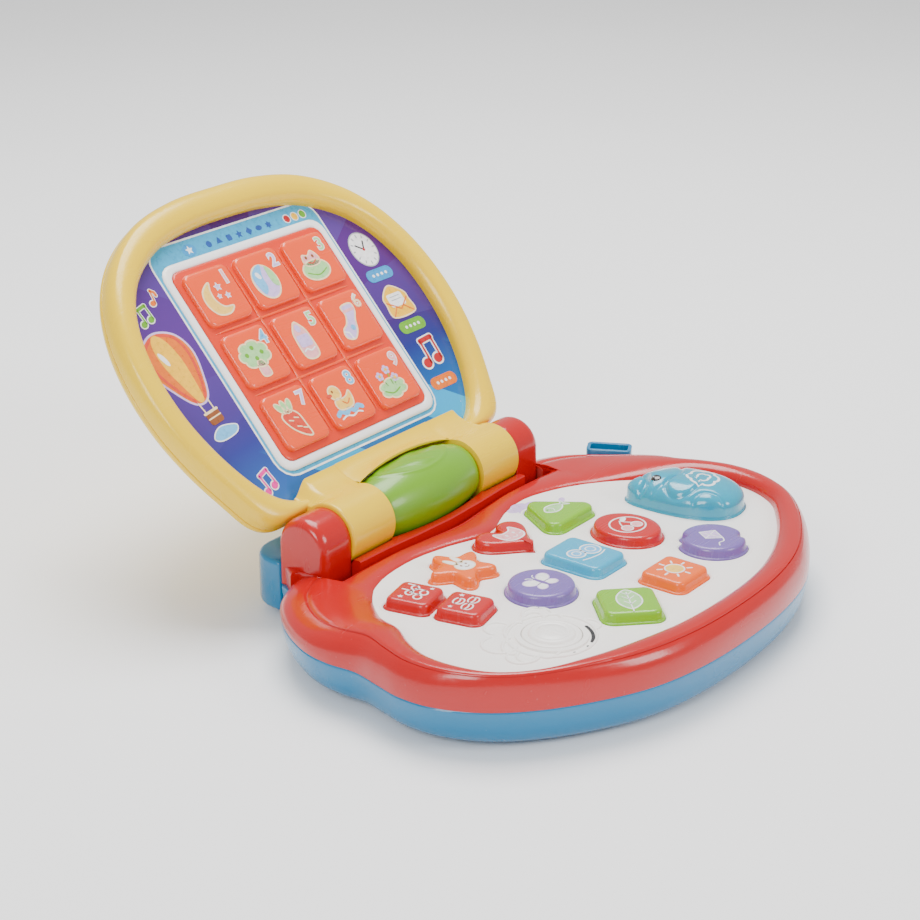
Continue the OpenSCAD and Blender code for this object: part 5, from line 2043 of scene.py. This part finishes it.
def draw_ball(s: PrintSheet) -> None:
    """Balloon-like ball with curved stripes.

    Args:
        s: sheet that takes the shapes.
    """
    s.outlined(ellipse(-1.5, -0.5, 8.2, 9.6), Ink.LILAC, Ink.CREAM, 0.9)
    s.fill(smooth_loop([[-8.6, 3.5], [-4, 8.2], [0.5, 8.8], [-2, 3], [-2.6, -4], [-6.6, -6.6]], 6), Ink.SKY,
           4)
    s.fill(smooth_loop([[2.6, 7.6], [6.4, 2.6], [5.6, -4.6], [2.2, -2]], 6), Ink.MINT, 4)
    s.fill(ellipse(-4.4, 3.6, 1.4, 2.2, 25), Ink.WHITE, 5)


def draw_frog(s: PrintSheet) -> None:
    """Frog resting on a leaf.

    Args:
        s: sheet that takes the shapes.
    """
    s.outlined(ellipse(-1, -3.6, 9.6, 5.8), Ink.MINT, Ink.CREAM, 0.9)
    s.outlined(smooth_loop([[-6.6, 1], [-5.4, 6], [-1.6, 5.2], [2.2, 7.4], [5.2, 3], [3.6, -0.6], [-3, -1]],
                           6), Ink.ROSE, Ink.CREAM, 0.7)
    for x in (-3.4, 1.6):
        s.fill(ellipse(x, 4.2, 0.8, 1.0), Ink.BROWN, 4)
    s.line(smooth_path([[-3.6, 1.4], [-0.8, 0.4], [2.2, 1.8]]), 0.6, Ink.CORAL, 4)
    s.line(smooth_path([[-8, -4], [-1, -6.6], [6, -4.4]]), 0.6, Ink.LEAF, 4)


def draw_tree(s: PrintSheet) -> None:
    """Round tree with fruit.

    Args:
        s: sheet that takes the shapes.
    """
    s.outlined(smooth_loop([[-2.2, -9.6], [-1.4, -2], [2.6, -2], [3.6, -9.6]], 5), Ink.ROSE, Ink.CREAM, 0.7)
    s.outlined(cloud_line(7, 10.4, 7.6, 0.16) + (0, 2.4), Ink.MINT, Ink.CREAM, 0.9)
    for x, y in ((-5, 3), (0.4, 6), (5, 2.4), (0, 0)):
        s.fill(ellipse(x, y, 1.2, 1.2), Ink.LEAF, 4)


def draw_crayon(s: PrintSheet) -> None:
    """Fat crayon, upright, with a wavy wrapper.

    Args:
        s: sheet that takes the shapes.
    """
    s.outlined(smooth_loop([[-5.6, -9.4], [3.4, -9.4], [3.8, 3], [1.6, 8], [-1, 10.4], [-3.6, 8], [-6, 3]],
                           6), Ink.ROSE, Ink.CREAM, 0.9)
    s.fill(rounded([[-4, -2.4], [2.0, -2.4], [2.0, 1.6], [-4, 1.6]], 1.4, 40), Ink.LILAC, 4)
    s.line(smooth_path([[-5, -6], [-2.6, -5], [-0.4, -6.4], [2.8, -5.4]]), 0.8, Ink.WHITE, 4)
    s.fill(ellipse(-1, 6.6, 1.8, 2.2), Ink.LILAC, 4)


def draw_sock(s: PrintSheet) -> None:
    """Sock with a banded top.

    Args:
        s: sheet that takes the shapes.
    """
    s.outlined(smooth_loop([[-1.6, 9], [6, 9.4], [6.4, 5], [3, 0], [0.4, -5.4], [-4.4, -9.4], [-9.4, -7.6],
                            [-8.6, -3.2],
                            [-4.4, -0.6], [-1.6, 4]], 6), Ink.LILAC, Ink.CREAM, 0.9)
    s.line([[-1.4, 6], [6, 6.2]], 1.6, Ink.ROSE, 4)
    s.line(smooth_path([[-8.6, -4.2], [-6.2, -5.6], [-5.6, -8.6]]), 0.9, Ink.WHITE, 4)
    s.fill(ellipse(-1.4, -3.4, 1.6, 1.6), Ink.SKY, 4)


def draw_carrot(s: PrintSheet) -> None:
    """Carrot with its leaves.

    Args:
        s: sheet that takes the shapes.
    """
    for x, turn in ((-5.6, 35), (-2.4, 8), (0.8, -22)):
        s.outlined(ellipse(x, 8.0, 1.7, 3.8, turn), Ink.MINT, Ink.CREAM, 0.6)
    s.outlined(smooth_loop([[-7.4, 3.6], [-1.4, 6], [3.4, 2.6], [4.6, -4], [4.8, -10], [0, -8.4],
                            [-5.4, -3]], 6), Ink.CORAL, Ink.CREAM, 0.9)
    for x, y in ((-4.4, 0.8), (-0.4, 1.4), (-1.4, -3.4), (1.8, -5)):
        s.line([[x, y], [x + 2.4, y - 0.9]], 0.7, Ink.CREAM, 4)


def draw_duck(s: PrintSheet) -> None:
    """Duck on two lines of water.

    Args:
        s: sheet that takes the shapes.
    """
    s.line(smooth_path([[-9.4, -7], [-6.4, -5.6], [-3.4, -7.4], [-0.4, -5.8], [2.8, -7.4], [6, -5.8],
                        [8.6, -7]]), 2.6, Ink.SKY, 2)
    s.outlined(smooth_loop([[-5.4, -4.8], [-7, -1], [-4.4, 1.4], [-1, 0.6], [2.6, 1.2], [6, 3.4], [6, -1.4],
                            [3, -5]], 6), Ink.PALE_YELLOW, Ink.CREAM, 0.8)
    s.outlined(ellipse(-3.6, 4.6, 4.0, 3.9), Ink.PALE_YELLOW, Ink.CREAM, 0.8)
    s.fill(ellipse(-7.8, 4.0, 1.8, 1.0), Ink.CORAL, 4)
    s.fill(ellipse(-4.6, 5.6, 0.6, 0.8), Ink.BROWN, 4)
    s.line(smooth_path([[-1.6, -1], [0.8, -2.8], [3.6, -0.8]]), 0.7, Ink.ORANGE, 4)
    s.line(smooth_path([[-8, -9.6], [-4, -8.6], [0, -9.8], [4, -8.6], [7, -9.6]]), 0.9, Ink.WHITE, 2)


def draw_bush(s: PrintSheet) -> None:
    """Bush with flowers.

    Args:
        s: sheet that takes the shapes.
    """
    s.outlined(cloud_line(6, 10, 5.6, 0.2) + (-0.4, -5), Ink.MINT, Ink.CREAM, 0.9)
    for x, y in ((-5, 3), (1.6, 5.4), (4.6, 0)):
        s.line([[x, y], [x * 0.6, -3]], 0.7, Ink.LEAF, 2)
        for a in np.radians(np.arange(90, 450, 72)):
            s.fill(ellipse(x + 1.5 * math.cos(a), y + 1.5 * math.sin(a), 1.1, 1.1), Ink.LILAC, 3)
        s.fill(ellipse(x, y, 0.9, 0.9), Ink.YELLOW, 4)
    s.line(smooth_path([[-7, -5.4], [-2, -7.6], [4, -6]]), 0.7, Ink.LEAF, 4)


# ---- Setting ----------------------------------------------------------------------------


@dataclass
class Studio:
    """Camera, pale floor and soft lights."""

    placing: Placing
    eye: tuple[float, float, float] = (-768.5, -613.4, 419.9)
    azimuth: float = -52.707
    elevation: float = 22.282
    lens: float = 84.06

    def build_camera(self) -> None:
        """Camera at the fitted place, looking down its own line of sight."""
        data = bpy.data.cameras.new("studio camera")
        data.lens, data.sensor_width = self.lens, 36.0
        data.clip_start, data.clip_end = 0.01, 50
        camera = bpy.data.objects.new("studio camera", data)
        bpy.context.scene.collection.objects.link(camera)
        camera.location = Vector(self.eye) * 0.001 + Vector((0, *self.placing.hinge))
        a, e = math.radians(self.azimuth), math.radians(self.elevation)
        back = Vector((math.sin(a) * math.cos(e), -math.cos(a) * math.cos(e), math.sin(e)))
        camera.rotation_mode = "QUATERNION"
        camera.rotation_quaternion = (-back).to_track_quat("-Z", "Y")
        bpy.context.scene.camera = camera

    def build_floor(self) -> None:
        """Wide pale floor."""
        mesh = bpy.data.meshes.new("floor")
        mesh.from_pydata([(-8, -8, 0), (8, -8, 0), (8, 8, 0), (-8, 8, 0)], [], [(0, 1, 2, 3)])
        material, g, shader = blank_material("pale floor")
        where = g.node("TexCoord").outputs["Object"]
        soft = g.node("TexNoise", {"Vector": where, "Scale": 3.0}).outputs[0]
        g.tree.links.new(g.ramp(soft, [(0.3, (0.95, 0.95, 0.95)), (0.7, (0.97, 0.97, 0.97))]),
                         shader.inputs["Base Color"])
        shader.inputs["Roughness"].default_value = 0.75
        mesh.materials.append(material)
        floor = bpy.data.objects.new("floor", mesh)
        bpy.context.scene.collection.objects.link(floor)

    def light(self, name: str, place: Sequence, aim: Sequence, size: float, power: float) -> None:
        """One square soft box.

        Args:
            name: name of the light.
            place: where it hangs, in metres.
            aim: point that it faces.
            size: side of the square.
            power: watts.
        """
        data = bpy.data.lights.new(name, "AREA")
        data.shape, data.size, data.energy = "SQUARE", size, power
        lamp = bpy.data.objects.new(name, data)
        bpy.context.scene.collection.objects.link(lamp)
        lamp.location = place
        lamp.rotation_mode = "QUATERNION"
        lamp.rotation_quaternion = (Vector(aim) - Vector(place)).to_track_quat("-Z", "Y")

    def build(self) -> None:
        """Makes the camera, the floor, the lights and the pale surroundings."""
        self.build_camera()
        self.build_floor()
        self.light("top box", (0.35, 0.25, 1.4), (0, 0, 0), 0.9, 30)
        self.light("left box", (-1.5, -0.3, 1.0), (0, 0, 0.05), 0.7, 15)
        self.light("front box", (0.4, -1.6, 0.9), (0, 0, 0.05), 0.6, 12)
        world = bpy.data.worlds.new("studio air")
        world.use_nodes = True
        world.node_tree.nodes["Background"].inputs[0].default_value = (1, 1, 1, 1)
        world.node_tree.nodes["Background"].inputs[1].default_value = 0.74
        bpy.context.scene.world = world


def main() -> None:
    """Builds the toy from its classes, then the studio."""
    logging.basicConfig(level=logging.INFO, format="%(name)s: %(message)s")
    placing = find_placing()
    shells = BaseShells(placing)
    shells.build()
    HingeCover(placing).build()
    made = keys()
    for key in made:
        key.build(placing)
    AnimalKey(placing).build()
    VolumeDial(placing).build()
    shells.build_collars({key.node: key.loop() for key in made})
    Lid(placing).build()
    Studio(placing).build()


if __name__ == "__main__":
    main()
